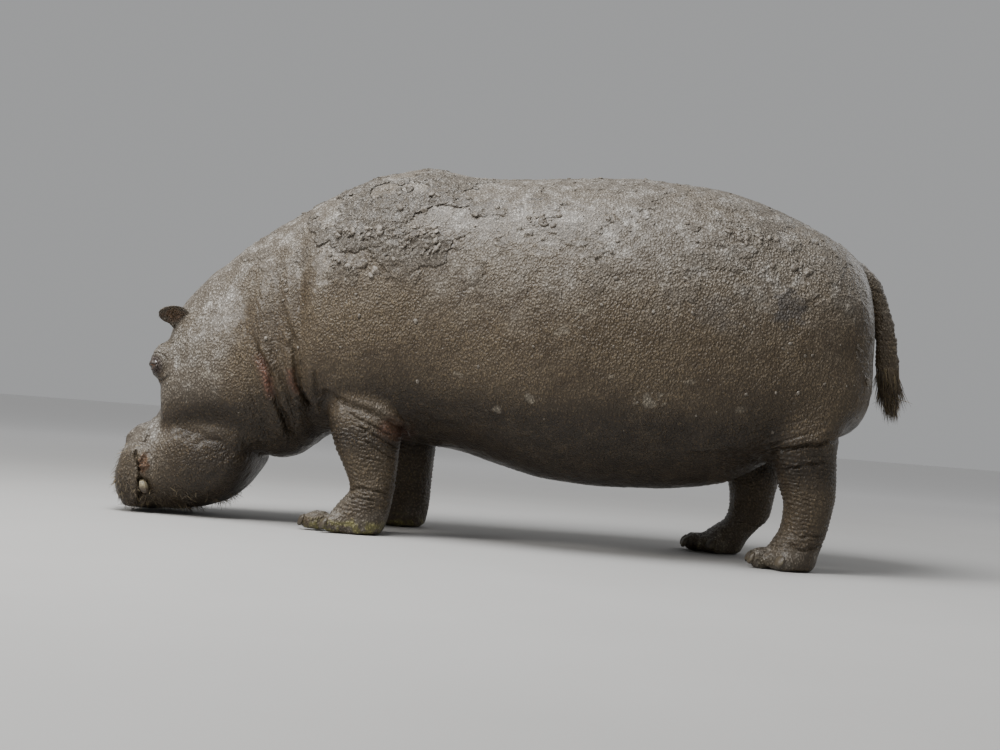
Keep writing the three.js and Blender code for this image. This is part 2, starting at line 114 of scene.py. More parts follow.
# rows: highest point x, z; lowest point x, z; half width; share of the height where it is widest;
# squareness of the section, 2 for an ellipse
trunk = {
    "rows": [
        (1384, 820, 1384, 760, 40, 0.5, 2.0),
        (1376, 890, 1376, 690, 110, 0.5, 2.2),
        (1360, 1050, 1356, 552, 250, 0.42, 2.4),
        (1312, 1160, 1290, 488, 345, 0.38, 2.5),
        (1200, 1244, 1140, 446, 412, 0.36, 2.55),
        (1030, 1324, 970, 335, 458, 0.38, 2.4),
        (900, 1374, 860, 278, 482, 0.42, 2.3),
        (720, 1410, 700, 248, 505, 0.44, 2.25),
        (440, 1424, 430, 230, 522, 0.43, 2.2),
        (180, 1408, 190, 243, 508, 0.43, 2.2),
        (-20, 1396, 10, 282, 478, 0.43, 2.2),
        (-170, 1397, -130, 318, 447, 0.43, 2.2),
        (-330, 1417, -280, 338, 422, 0.41, 2.25),
        (-450, 1396, -390, 352, 408, 0.4, 2.3),
        (-590, 1347, -510, 362, 392, 0.38, 2.35),
        (-745, 1266, -640, 352, 364, 0.38, 2.3),
        (-800, 1233, -685, 335, 324, 0.41, 2.15),
        (-850, 1201, -712, 308, 331, 0.4, 2.15),
        (-905, 1166, -742, 288, 310, 0.4, 2.15),
        (-975, 1116, -775, 262, 314, 0.4, 2.15),
        (-1050, 1060, -822, 247, 292, 0.4, 2.15),
        (-1125, 992, -862, 242, 291, 0.37, 2.15),
        (-1215, 890, -915, 255, 285, 0.36, 2.2),
        (-1272, 800, -1000, 285, 268, 0.36, 2.3),
        (-1302, 690, -1100, 295, 246, 0.36, 2.3),
        (-1318, 600, -1190, 290, 222, 0.36, 2.3),
        (-1320, 500, -1260, 290, 195, 0.4, 2.3),
    ],
    "around": 96,
    "between": 6,
}
face = {
    "rows": [
        (-1150, 955, -960, 760, 180, 0.4, 2.3),
        (-1276, 800, -1000, 590, 196, 0.5, 2.5),
        (-1310, 690, -1015, 500, 203, 0.5, 2.5),
        (-1318, 590, -1040, 430, 203, 0.5, 2.5),
        (-1322, 500, -1075, 370, 188, 0.5, 2.5),
        (-1332, 412, -1110, 310, 176, 0.5, 2.5),
        (-1368, 352, -1150, 255, 184, 0.55, 2.6),
        (-1422, 300, -1190, 200, 204, 0.55, 2.7),
        (-1460, 230, -1225, 150, 221, 0.55, 2.7),
        (-1475, 150, -1260, 100, 224, 0.55, 2.7),
        (-1468, 75, -1290, 50, 210, 0.55, 2.6),
        (-1436, 14, -1320, 12, 172, 0.55, 2.5),
    ],
    "around": 72,
    "between": 6,
    "soft": 0.045,
}
jaw = {
    "rows": [
        (-903, 330, -915, 245, 150, 0.5, 2.3),
        (-935, 410, -948, 172, 222, 0.55, 2.4),
        (-1000, 430, -1018, 84, 252, 0.58, 2.4),
        (-1100, 430, -1120, 32, 254, 0.6, 2.4),
        (-1200, 410, -1220, 11, 238, 0.6, 2.4),
        (-1290, 350, -1300, 8, 223, 0.55, 2.5),
        (-1345, 270, -1350, 9, 205, 0.5, 2.5),
        (-1385, 180, -1385, 18, 160, 0.5, 2.5),
    ],
    "around": 72,
    "between": 6,
    "soft": 0.028,
}

# legs: height, x, y outward, half length, half width, how much further along the right leg stands
foreLeg = {
    "rows": [
        (680, -480, 205, 120, 90, 65),
        (550, -494, 222, 156, 102, 65),
        (420, -478, 255, 145, 111, 65),
        (320, -464, 264, 126, 105, 65),
        (226, -442, 264, 100, 96, 65),
        (160, -434, 264, 87, 92, 68),
        (115, -454, 265, 102, 96, 72),
        (64, -476, 266, 114, 102, 78),
        (25, -484, 266, 112, 103, 80),
        (-14, -484, 266, 96, 90, 80),
    ],
    "pad": (-484, 266, 80),
    "frontToes": 148,
    "sideToes": 62,
    "soft": 0.022,
}
hindLeg = {
    "rows": [
        (800, 1120, 190, 180, 160, -60),
        (630, 1140, 232, 190, 160, -60),
        (500, 1118, 266, 140, 142, -80),
        (390, 1131, 274, 121, 118, -112),
        (310, 1149, 272, 109, 106, -140),
        (235, 1160, 268, 94, 96, -150),
        (150, 1150, 266, 89, 90, -153),
        (105, 1130, 266, 95, 95, -178),
        (62, 1112, 266, 100, 100, -202),
        (25, 1106, 266, 98, 102, -212),
        (-14, 1104, 266, 84, 88, -212),
    ],
    "pad": (1106, 266, -212),
    "frontToes": 92,
    "sideToes": 4,
    "soft": 0.05,
}
legs = {"fore": foreLeg, "hind": hindLeg}
# which row of the leg's table, how far out from the middle, and the angle that it turns
toes = [("sideToes", -72, -34), ("frontToes", -40, -8), ("frontToes", 34, 8), ("sideToes", 72, 34)]
toeSize = {"half": (58, 40, 46), "height": 32, "soft": 0.012}
tail = {
    "rows": [  # x, z, half depth, half thickness
        (1290, 1132, 60, 56),
        (1318, 1118, 52, 50),
        (1376, 1074, 45, 40),
        (1414, 998, 40, 31),
        (1437, 915, 43, 27),
        (1450, 835, 47, 24),
        (1460, 762, 47, 20),
        (1470, 700, 42, 16),
        (1480, 650, 22, 12),
    ],
    "around": 32,
    "between": 6,
    "soft": 0.02,
}
lumps = [  # middle, half sizes, lean about y, melt
    {"middle": (-1294, 148, 586), "half": (64, 62, 84), "lean": 14, "soft": 0.03},   # eye sockets
    {"middle": (-1402, 96, 294), "half": (30, 46, 54), "lean": 40, "soft": 0.025},   # nostrils
    {"middle": (-1170, 134, 694), "half": (44, 38, 32), "lean": 0, "soft": 0.03},    # ear roots
]
melting = {"voxel": 0.013, "reach": 8, "low": (-1.56, -0.62, -0.08), "high": (1.62, 0.62, 1.52)}


def sectionRings(part):
    rows = throughRows(part["rows"], part["between"])
    angle = np.linspace(0, 2 * math.pi, part["around"], endpoint=False)
    rings = []
    for topX, topZ, lowX, lowZ, half, wide, square in rows:
        up = signedPower(np.sin(angle), 2 / square)
        across = signedPower(np.cos(angle), 2 / square)
        widestX = lowX + (topX - lowX) * wide
        widestZ = lowZ + (topZ - lowZ) * wide
        endX = np.where(up > 0, topX, lowX)
        endZ = np.where(up > 0, topZ, lowZ)
        share = np.abs(up)
        rings.append(np.stack([widestX + (endX - widestX) * share, half * across,
                               widestZ + (endZ - widestZ) * share], axis=1))
    return np.array(rings) / 1000


def padMiddle(part, sign):
    # the middle of a foot, in millimetres
    x, y, rightX = part["pad"]
    return x + (rightX if sign > 0 else 0), sign * y


def toePlaces(part, sign):
    # x, y and angle of each toe, in millimetres and degrees
    x, y = padMiddle(part, sign)
    for row, out, turn in toes:
        yield x - part[row], y + sign * out, -sign * turn


def legRings(part, sign, between=5, around=48, square=2.3):
    angle = np.linspace(0, 2 * math.pi, around, endpoint=False)
    rings = []
    for z, x, y, halfX, halfY, rightX in throughRows(part["rows"], between):
        middleX = x + (rightX if sign > 0 else 0)
        rings.append(np.stack([middleX + halfX * signedPower(np.cos(angle), 2 / square),
                               sign * y + halfY * signedPower(np.sin(angle), 2 / square),
                               np.full(around, z)], axis=1))
    return np.array(rings) / 1000


def tailRings(part):
    rows = throughRows(part["rows"], part["between"])
    angle = np.linspace(0, 2 * math.pi, part["around"], endpoint=False)
    ways = np.gradient(rows[:, :2], axis=0)
    ways /= np.linalg.norm(ways, axis=1, keepdims=True)
    rings = []
    for (x, z, deep, thick), (wayX, wayZ) in zip(rows, ways):
        along = deep * np.cos(angle)
        rings.append(np.stack([x - wayZ * along, thick * np.sin(angle), z + wayX * along], axis=1))
    return np.array(rings) / 1000


def closedLoft(rings):
    count, around = rings.shape[:2]
    points = np.vstack([rings.reshape(-1, 3), rings[0].mean(0), rings[-1].mean(0)])
    s = np.arange(around)
    n = (s + 1) % around
    triangles = []
    for r in range(count - 1):
        a, b = r * around + s, r * around + n
        triangles += [np.stack([a, a + around, b], 1), np.stack([b, a + around, b + around], 1)]
    first, last = count * around, count * around + 1
    end = (count - 1) * around
    triangles += [np.stack([np.full(around, first), s, n], 1),
                  np.stack([np.full(around, last), end + n, end + s], 1)]
    return points, np.vstack(triangles)


voxel = melting["voxel"]
gridLow = np.floor(np.array(melting["low"]) / voxel).astype(int)
gridShape = tuple(np.ceil((np.array(melting["high"]) - melting["low"]) / voxel).astype(int))
gridScale = openvdb.createLinearTransform(voxelSize=voxel)


def distanceTo(rings):
    points, triangles = closedLoft(rings)
    grid = openvdb.FloatGrid.createLevelSetFromPolygons(
        points.astype(np.float32), triangles=triangles.astype(np.uint32),
        transform=gridScale, halfWidth=melting["reach"])
    block = np.empty(gridShape, np.float32)
    grid.copyToArray(block, ijk=tuple(int(v) for v in gridLow))
    return block


def melt(a, b, soft):
    share = np.clip(0.5 + 0.5 * (b - a) / soft, 0, 1)
    return b + (a - b) * share - soft * share * (1 - share)


def meltBall(field, middle, half, lean, turn, soft):
    middle = np.array(middle) / 1000
    half = np.array(half) / 1000
    reach = half.max() + soft + 2 * voxel
    low = np.maximum(np.floor((middle - reach) / voxel).astype(int) - gridLow, 0)
    high = np.minimum(np.ceil((middle + reach) / voxel).astype(int) - gridLow, gridShape)
    axes = [(np.arange(low[k], high[k]) + gridLow[k]) * voxel - middle[k] for k in range(3)]
    p = np.stack(np.meshgrid(*axes, indexing="ij"), axis=-1)
    spin = Matrix.Rotation(math.radians(turn), 3, "Z") @ Matrix.Rotation(math.radians(lean), 3, "Y")
    local = p @ np.array(spin)
    outer = np.linalg.norm(local / half, axis=-1)
    inner = np.linalg.norm(local / half ** 2, axis=-1) + 1e-9
    ball = outer * (outer - 1) / inner
    block = tuple(slice(a, b) for a, b in zip(low, high))
    field[block] = melt(field[block], ball, soft)


field = distanceTo(sectionRings(trunk))
field = melt(field, distanceTo(sectionRings(face)), face["soft"])
field = melt(field, distanceTo(sectionRings(jaw)), jaw["soft"])
field = melt(field, distanceTo(tailRings(tail)), tail["soft"])
for part in legs.values():
    for sign in bothSides.values():
        limb = distanceTo(legRings(part, sign))
        for x, y, turn in toePlaces(part, sign):
            meltBall(limb, (x, y, toeSize["height"]), toeSize["half"], 0, turn, toeSize["soft"])
        field = melt(field, limb, part["soft"])
for lump in lumps:
    x, y, z = lump["middle"]
    for sign in bothSides.values():
        meltBall(field, (x, sign * y, z), lump["half"], lump["lean"], 0, lump["soft"])
heights = (np.arange(gridShape[2]) + gridLow[2]) * voxel
field = np.maximum(field, -heights[None, None, :])  # the soles are flat on the floor
print("melted the body's parts on a grid of", gridShape)


# from the grid to one skin, finer on the head, the legs and the folds

hide = {
    "depth": 0.0055,       # how far inside the solids it lies, before folds, wrinkles and mud
    "relaxPasses": 10,
    "relax": (0.55, -0.57),  # in and out again, so that nothing shrinks
    "eyeZone": 0.052,      # how far round an eye the skin is finest
    "headBack": (-1.16, 0.74),  # the head is ahead of this x and below this z
    "legTop": 0.30,
    "tailFront": 1.37,
}
eye = {"radius": 0.023, "orbit": (-1.294, 0.148, 0.586), "forward": 0.046, "look": (-0.6, 0.7, -0.38)}
foldZones = [  # x from and to, z from and to: where the skin folds or is wrinkled
    (-0.98, -0.58, 0.26, 0.74),   # neck and shoulder
    (-0.66, -0.30, 0.28, 0.58),   # elbow
    (-1.42, -1.22, 0.00, 0.34),   # mouth
    (-1.36, -1.16, 0.48, 0.68),   # eyes
    (-0.80, -0.12, 1.02, 1.50),   # the thick mud on the withers
    (0.80, 1.30, 0.28, 0.50),     # flank and thigh
]


def gridMesh(block, level):
    grid = openvdb.FloatGrid(float(melting["reach"] * voxel))
    grid.transform = gridScale
    grid.gridClass = openvdb.GridClass.LEVEL_SET
    grid.copyFromArray(block, ijk=tuple(int(v) for v in gridLow))
    points, quads = grid.convertToQuads(level)
    return points.astype(float), quads.astype(np.int64)


def neighbourMeans(points, edges):
    total = np.zeros_like(points)
    count = np.bincount(edges.ravel(), minlength=len(points))
    for k in range(points.shape[1]):
        total[:, k] = (np.bincount(edges[:, 0], points[edges[:, 1], k], len(points))
                       + np.bincount(edges[:, 1], points[edges[:, 0], k], len(points)))
    return total / np.maximum(count, 1)[:, None]


def readOut(elements, field, width=1, kind=float):
    # one field of all a mesh's points, edges, faces or corners
    values = np.empty(len(elements) * width, kind)
    elements.foreach_get(field, values)
    return values.reshape(-1, width) if width > 1 else values


def meshArrays(mesh):
    return readOut(mesh.vertices, "co", 3), readOut(mesh.edges, "vertices", 2, np.int64)


def meshNormals(mesh):
    return readOut(mesh.vertices, "normal", 3)


def setPoints(mesh, points):
    mesh.vertices.foreach_set("co", np.ascontiguousarray(points).ravel())
    mesh.update()


def makeMesh(name, points, faces):
    mesh = bpy.data.meshes.new(name)
    mesh.from_pydata(np.asarray(points).tolist(), [], [list(map(int, f)) for f in faces])
    mesh.update()
    return mesh


def facingOut(mesh):
    bm = bmesh.new()
    bm.from_mesh(mesh)
    if bm.calc_volume(signed=True) < 0:
        bmesh.ops.reverse_faces(bm, faces=bm.faces)
        bm.to_mesh(mesh)
    bm.free()
    return mesh


def intoScene(name, data):
    thing = bpy.data.objects.new(name, data)
    bpy.context.scene.collection.objects.link(thing)
    return thing


def showMesh(name, mesh, material, replaced=()):
    piece = intoScene(name, mesh)
    mesh.materials.clear()
    mesh.materials.append(material)
    mesh.polygons.foreach_set("use_smooth", [True] * len(mesh.polygons))
    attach(piece, body)
    if replaced:
        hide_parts(*replaced)


def mirrored(point, sign):
    return np.array([point[0], sign * point[1], point[2]])


def unit(vector):
    return np.asarray(vector, float) / np.linalg.norm(vector)


eyePlaces = {}  # for each side, the middle of the eye and the way it looks
for sign in bothSides.values():
    look = unit(mirrored(eye["look"], sign))
    eyePlaces[sign] = (mirrored(eye["orbit"], sign) + look * eye["forward"], look)


def refined(mesh, chosen):
    picked = np.nonzero(chosen(readOut(mesh.polygons, "center", 3)))[0]
    bm = bmesh.new()
    bm.from_mesh(mesh)
    bm.faces.ensure_lookup_table()
    cuts = {e for i in picked for e in bm.faces[i].edges}
    bmesh.ops.subdivide_edges(bm, edges=list(cuts), cuts=1, use_grid_fill=True)
    bm.to_mesh(mesh)
    bm.free()


def fromEyes(points):
    # distance to the middle of the nearer eye
    return np.minimum(*[np.linalg.norm(points - place, axis=1) for place, _ in eyePlaces.values()])


def nearEyes(points, reach):
    return fromEyes(points) < reach


def alongLegs(x, foreFront, foreBack, hindFront):
    return ((x > foreFront) & (x < foreBack)) | (x > hindFront)


def inFoldZones(points):
    x, y, z = points.T
    inside = np.zeros(len(points), bool)
    for left, right, low, high in foldZones:
        inside |= (x > left) & (x < right) & (z > low) & (z < high)
    return inside & ((np.abs(y) > 0.15) | (z > 1))  # not between the legs


def onHeadLegsTail(points):
    x, y, z = points.T
    head = (x < hide["headBack"][0]) & (z < hide["headBack"][1])
    leg = (z < hide["legTop"]) & (np.abs(y) > 0.14) & alongLegs(x, -0.66, -0.24, 0.84)
    return head | leg | (x > hide["tailFront"]) | inFoldZones(points)


def onMouthOrEyes(points):
    x, y, z = points.T
    mouth = (x > -1.41) & (x < -1.29) & (z > 0.02) & (z < 0.28) & (np.abs(y) > 0.14)
    nostril = (x < -1.38) & (z > 0.29) & (np.abs(np.abs(y) - 0.098) < 0.045)
    return mouth | nostril | nearEyes(points, hide["eyeZone"] * 1.3)


points, quads = gridMesh(field, -hide["depth"])
hideMesh = facingOut(makeMesh("hide", points, quads))
refined(hideMesh, onHeadLegsTail)
refined(hideMesh, onMouthOrEyes)
refined(hideMesh, lambda points: nearEyes(points, hide["eyeZone"]))
points, edges = meshArrays(hideMesh)
for turn in range(hide["relaxPasses"]):
    share = hide["relax"][turn % 2]
    points = points + share * (neighbourMeans(points, edges) - points)
setPoints(hideMesh, points)
coarse = intoScene("coarse", hideMesh)
finer = coarse.modifiers.new("finer", "SUBSURF")
finer.levels = 1
finer.render_levels = 1
evaluated = coarse.evaluated_get(bpy.context.evaluated_depsgraph_get())
hideMesh = bpy.data.meshes.new_from_object(evaluated)
hideMesh.name = "hide"
bpy.data.objects.remove(coarse)
hidePoints = len(hideMesh.vertices)
print("skin mesh of", len(hideMesh.polygons), "faces")


# the ears, cupped shells with their roots sunk in the head

ear = {
    "root": (-1.160, 0.136, 0.704), "tip": (-1.316, 0.206, 0.782), "opening": (-0.22, 0.92, -0.32),
    "halfWidth": 0.048, "halfThickness": 0.021, "cup": 1.55, "along": 44, "around": 56,
    "rows": [  # share of the length, width, thickness, cupping
        (-0.16, 0.60, 1.10, 0.0), (0.0, 0.62, 1.10, 0.0), (0.22, 0.84, 1.05, 0.35), (0.5, 0.98, 0.9, 1.0),
        (0.75, 0.88, 0.70, 1.0), (0.92, 0.58, 0.48, 0.7), (1.0, 0.16, 0.22, 0.0),
    ],
    "curl": 0.012,
    "ragged": 0.16,
    "muddy": 0.0035,
}


def earMesh(sign):
    root, tip = mirrored(ear["root"], sign), mirrored(ear["tip"], sign)
    axis = unit(tip - root)
    opening = mirrored(ear["opening"], sign)
    opening = unit(opening - axis * np.dot(opening, axis))
    width = np.cross(opening, axis)
    rows = throughRows(ear["rows"], 12)
    angle = np.linspace(0, 2 * math.pi, ear["around"], endpoint=False)
    rings, inside, atTip = [], [], []
    for at, wide, thick, cup in rows:
        middle = root + (tip - root) * at + opening * ear["curl"] * max(at - 0.7, 0) / 0.3
        ragged = 1 + ear["ragged"] * np.sin(3 * angle + 9 * at) * np.abs(np.sin(angle)) * fade(at, 0.3, 0.6)
        across = wide * ear["halfWidth"] * np.sin(angle) * ragged
        out = thick * ear["halfThickness"] * np.cos(angle)
        front = np.maximum(np.cos(angle), 0) ** 0.7
        hollow = cup * ear["cup"] * thick * ear["halfThickness"] * front
        out = out - hollow * (1 - 0.3 * np.abs(np.sin(angle)))
        rings.append(middle + width * across[:, None] + opening * out[:, None])
        inside.append(front * cup)
        atTip.append(np.full(len(angle), fade(at, 0.72, 0.95)))
    points, faces = closedLoft(np.array(rings))
    caked = roughNoise(points, 0.022, 15, 3) - 0.45
    points += opening * (ear["muddy"] * 2 * caked * np.sign((points - root) @ opening))[:, None]
    ends = [0.0, 0.0]
    mesh = facingOut(makeMesh("ear", points, faces))
    return mesh, np.concatenate([*inside, ends]), np.concatenate([*atTip, ends])


bm = bmesh.new()
bm.from_mesh(hideMesh)
earInside, earTip = [np.zeros(hidePoints)], [np.zeros(hidePoints)]
for sign in bothSides.values():
    mesh, inside, atTip = earMesh(sign)
    bm.from_mesh(mesh)
    earInside.append(inside)
    earTip.append(atTip)
bm.to_mesh(hideMesh)
bm.free()
earInside, earTip = np.concatenate(earInside), np.concatenate(earTip)
isEar = np.arange(len(earInside)) >= hidePoints
points, edges = meshArrays(hideMesh)
normals = meshNormals(hideMesh)
smoothPoints, smoothNormals = points.copy(), normals.copy()  # the form before folds and mud
print("ears joined to the skin")


# folds and creases, drawn as lines seen from the side, in millimetres

# each: line as x and z; half width and depth of the groove; how far the skin swells on the upper or
# rear side and on the other side, and how wide it swells; the leg that it moves with on the far side
folds = {
    "cheekAndNeck": {"line": [(-950, 730), (-897, 642), (-852, 577), (-822, 500), (-800, 425), (-775, 362),
                              (-745, 336)],
                     "groove": (13, 12), "swell": (10, 10, 55), "ends": (0.3, 0.1)},
    "neckRoll": {"line": [(-870, 700), (-815, 590), (-775, 500), (-742, 405)],
                 "groove": (9, 5), "swell": (3, 3, 30)},
    "shoulder": {"line": [(-815, 830), (-788, 743), (-762, 665), (-748, 600), (-736, 545), (-716, 495),
                          (-688, 452), (-650, 430)],
                 "groove": (14, 14), "swell": (16, 5, 60), "ends": (0.35, 0.08)},
    "shoulderSecond": {"line": [(-672, 600), (-660, 545), (-655, 515), (-640, 488)],
                       "groove": (8, 9), "swell": (4, 4, 25)},
    "elbow": {"line": [(-645, 524), (-585, 497), (-517, 470), (-448, 447), (-383, 427), (-340, 405),
                       (-335, 365)],
              "groove": (10, 12), "swell": (12, -6, 70), "leg": "fore", "ends": (0.12, 0.06)},
    "elbowSecond": {"line": [(-540, 450), (-502, 430), (-433, 400), (-397, 384), (-340, 362)],
                    "groove": (5, 6), "swell": (5, 2, 22), "leg": "fore"},
    "elbowThird": {"line": [(-499, 406), (-431, 369), (-376, 345), (-335, 322)],
                   "groove": (4.5, 5), "swell": (4, 2, 20), "leg": "fore"},
    "elbowFourth": {"line": [(-465, 355), (-427, 325), (-372, 296), (-340, 285)],
                    "groove": (4, 5), "swell": (3, 2, 16), "leg": "fore"},
    "elbowFifth": {"line": [(-500, 300), (-455, 280), (-410, 276), (-365, 270)],
                   "groove": (4, 3), "swell": (2, 1, 12), "leg": "fore"},
    "wrist": {"line": [(-520, 152), (-500, 160), (-455, 168), (-395, 165), (-350, 150)],
              "groove": (5, 6), "swell": (4, 3, 20), "leg": "fore"},
    "wristSecond": {"line": [(-530, 122), (-495, 130), (-430, 132), (-370, 118)],
                    "groove": (4, 4), "swell": (3, 2, 16), "leg": "fore"},
    "flank": {"line": [(690, 366), (779, 396), (847, 410), (890, 406), (935, 388), (985, 362)],
              "groove": (13, 9), "swell": (12, -9, 60), "ends": (0.3, 0.25)},
    "thigh": {"line": [(1290, 505), (1249, 491), (1179, 464), (1093, 445), (1013, 423), (965, 398)],
              "groove": (8, 7), "swell": (3, 8, 45), "leg": "hind"},
    "thighSecond": {"line": [(1215, 402), (1144, 385), (1075, 368), (1035, 338)],
                    "groove": (5, 6), "swell": (2, 4, 25), "leg": "hind"},
    "thighThird": {"line": [(1150, 500), (1085, 480), (1020, 452), (975, 430)],
                   "groove": (6, 4), "swell": (2, 3, 25), "leg": "hind"},
    "ankle": {"line": [(1085, 112), (1110, 88), (1137, 79), (1173, 90), (1225, 104)],
              "groove": (4.5, 7), "swell": (4, 3, 20), "leg": "hind"},
    "ankleSecond": {"line": [(1085, 150), (1120, 130), (1165, 128), (1225, 140)],
                    "groove": (4, 4), "swell": (3, 2, 16), "leg": "hind"},
    "jawCrease": {"line": [(-1247, 366), (-1170, 330), (-1083, 306), (-1004, 290), (-937, 262),
                           (-919, 225)],
                  "groove": (32, 14), "swell": (3, -4, 60), "ends": (0.35, 0.1)},
    "mouth": {"line": [(-1372, 240), (-1358, 212), (-1342, 175), (-1337, 132), (-1334, 89), (-1350, 25)],
              "groove": (6, 18), "swell": (5, 7, 20), "ends": (0.08, 0.05)},
    "mouthCorner": {"line": [(-1334, 384), (-1326, 335), (-1329, 290), (-1338, 255)],
                    "groove": (6, 7), "swell": (4, 4, 22)},
    "lidCrease": {"line": [(-1352, 600), (-1338, 612), (-1312, 616), (-1285, 604), (-1268, 580)],
                  "groove": (3.5, 4), "swell": (2, 2, 12)},
    "underEye": {"line": [(-1345, 530), (-1310, 512), (-1275, 520), (-1250, 545)],
                 "groove": (5, 4), "swell": (3, 2, 18)},
}


def rightwards(leg, z):
    # how much further along a point of the right leg is than the same point of the left one
    rows = sorted((row[0], row[5]) for row in legs[leg]["rows"])
    return np.interp(z, [row[0] for row in rows], [row[1] for row in rows])


def fromLine(flat, line):
    # distance to the line, above zero on its left, and the share of its length passed
    lengths = np.linalg.norm(np.diff(line, axis=0), axis=1)
    passed = np.concatenate([[0], np.cumsum(lengths)])
    nearest = np.full(len(flat), 9.0)
    share = np.zeros(len(flat))
    for a, b, length, start in zip(line[:-1], line[1:], lengths, passed):
        wayX, wayZ = (b - a) / length
        relX, relZ = (flat - a).T
        t = np.clip(relX * wayX + relZ * wayZ, 0, length)
        d = np.hypot(relX - t * wayX, relZ - t * wayZ)
        left = wayX * relZ - wayZ * relX
        closer = d < np.abs(nearest)
        nearest = np.where(closer, np.where(left >= 0, d, -d), nearest)
        share = np.where(closer, (start + t) / passed[-1], share)
    return nearest, share


def nearLine(points, line, reach, sign, leg=None):
    # points of one side within reach of a line: their numbers, signed distances and shares
    curve = throughRows(np.array(line) / 1000, 5)
    if leg and sign > 0:
        curve[:, 0] += rightwards(leg, curve[:, 1] * 1000) / 1000
    low, high = curve.min(0) - reach, curve.max(0) + reach
    x, y, z = points.T
    picked = np.nonzero((x > low[0]) & (x < high[0]) & (z > low[1]) & (z < high[1]) & (y * sign > 0.03))[0]
    distance, share = fromLine(points[picked][:, [0, 2]], curve)
    return picked, distance, share


def foldHeights(points, normals):
    heights = np.zeros(len(points))
    wander = smoothNoise(points, 0.035, 11) - 0.5
    for fold in folds.values():
        width, depth = (v / 1000 for v in fold["groove"])
        upper, lower, reach = (v / 1000 for v in fold["swell"])
        first, last = fold.get("ends", (0.2, 0.2))
        for sign in bothSides.values():
            picked, distance, share = nearLine(points, fold["line"], reach * 2.2, sign, fold.get("leg"))
            outward = fade(normals[picked, 1] * sign, -0.15, 0.25)
            distance = distance + wander[picked] * width * 1.6
            ends = fade(share, 0, first) * fade(1 - share, 0, last) * outward
            away = np.abs(distance)
            swell = np.where(distance > 0, upper, lower) * np.exp(-(away / reach) ** 2)
            swell *= 1 - np.exp(-(away / width) ** 2)
            heights[picked] += ends * (swell - depth * np.exp(-(away / width) ** 2))
    return heights


# fine folds in rows: metres from one to the next, their height, and how patchy they are
wrinkles = {
    "mouth": (0.0115, 0.0032, 0.5),
    "legAround": (0.0145, 0.0046, 0.45), "legAslant": (0.021, 0.0024, 0.8),
    "tail": (0.021, 0.0034, 0.3),
    "neckDown": (0.024, 0.0034, 0.6), "neckAslant": (0.017, 0.0018, 0.8),
    "cheekDown": (0.019, 0.0018, 0.8), "cheekUp": (0.021, 0.0018, 0.8),
    "eye": (0.0085, 0.0013, 0.4),
    "thigh": (0.026, 0.0042, 0.6),
}
mouthMiddle = (-1.345, 0.195)


def wrinkleHeights(points, normals):
    x, _, z = points.T
    bend = smoothNoise(points, 0.09, 21)
    fine = smoothNoise(points, 0.03, 22)
    heights = np.zeros(len(points))

    def rows(name, place, where):
        # place: a length across the rows; where: the share of their height
        spacing, depth, patchy = wrinkles[name]
        picked = np.nonzero(where > 0.01)[0]
        phase = place[picked] / spacing + 1.6 * bend[picked] + 0.7 * fine[picked]
        waves = np.abs(np.sin(math.pi * phase)) ** 0.7
        patches = 1 - patchy * fade(smoothNoise(points[picked], 0.05, 23), 0.4, 0.62)
        heights[picked] += depth * (waves - 0.7) * where[picked] * patches

    side = np.abs(normals[:, 1])
    fromMouth = np.hypot(x - mouthMiddle[0], z - mouthMiddle[1])
    behind = fade(x - mouthMiddle[0], -0.02, 0.03)
    rows("mouth", fromMouth, behind * fade(fromMouth, 0.035, 0.05) * fade(fromMouth, 0.2, 0.12) * side)
    onLeg = fade(z, 0.50, 0.36) * fade(z, 0.05, 0.1) * alongLegs(x, -0.68, -0.2, 0.84)
    rows("legAround", z + 0.12 * x, onLeg)
    rows("legAslant", z - 0.5 * x, onLeg)
    onTail = fade(x, 1.375, 1.40) * fade(z, 0.68, 0.72) * fade(z, 1.1, 1.05)
    rows("tail", z + 0.3 * np.sin(40 * x) * 0.01, onTail)
    onNeck = fade(x, -1.0, -0.92) * fade(x, -0.62, -0.7) * fade(z, 0.98, 0.8) * side
    rows("neckDown", x + 0.42 * z, onNeck)
    rows("neckAslant", x - 0.9 * z, onNeck)
    onCheek = fade(x, -0.95, -1.02) * fade(z, 0.3, 0.36) * side
    rows("cheekDown", x * 0.7 + z, onCheek)
    rows("cheekUp", x * 0.9 - z, onCheek)
    roundEye = fromEyes(points)
    rows("eye", roundEye, fade(roundEye, 0.028, 0.034) * fade(roundEye, 0.085, 0.05))
    onThigh = fade(x, 0.86, 0.96) * fade(z, 0.36, 0.44) * fade(z, 0.66, 0.52) * side
    rows("thigh", z - 0.38 * x, onThigh)
    return heights


# broad swellings and hollows of the hide: middle x, y, z, reach and height, all in millimetres
forms = [
    (-560, 330, 690, 200, 9),     # shoulder muscle
    (-700, 300, 560, 90, 6),      # lower edge of the shoulder
    (-640, 330, 490, 55, -9),     # hollow over the leg
    (-840, 300, 480, 60, 5),      # neck roll
    (-1050, 290, 520, 150, 8),    # jowl
    (-1180, 250, 200, 120, 5),    # jaw corner
    (-1010, 260, 860, 110, -6),   # behind the ear
    (-1060, 270, 325, 95, -9),    # between cheek and jaw
    (860, 480, 700, 260, 6),      # haunch
    (1160, 400, 900, 220, 5),     # hip
    (900, 330, 360, 70, -10),     # under the flank fold
    (-1360, 215, 215, 45, 6),     # upper lip by the mouth
    (-1310, 235, 130, 40, 5),     # lower lip by the mouth
    (1350, 170, 640, 120, 10),    # lower edge of the buttock
    (1370, 150, 860, 150, 5),     # buttock
]
relief = {"lumpy": 0.0030, "lumpSize": 0.16, "pebble": 0.0014, "pebbleSize": 0.016}


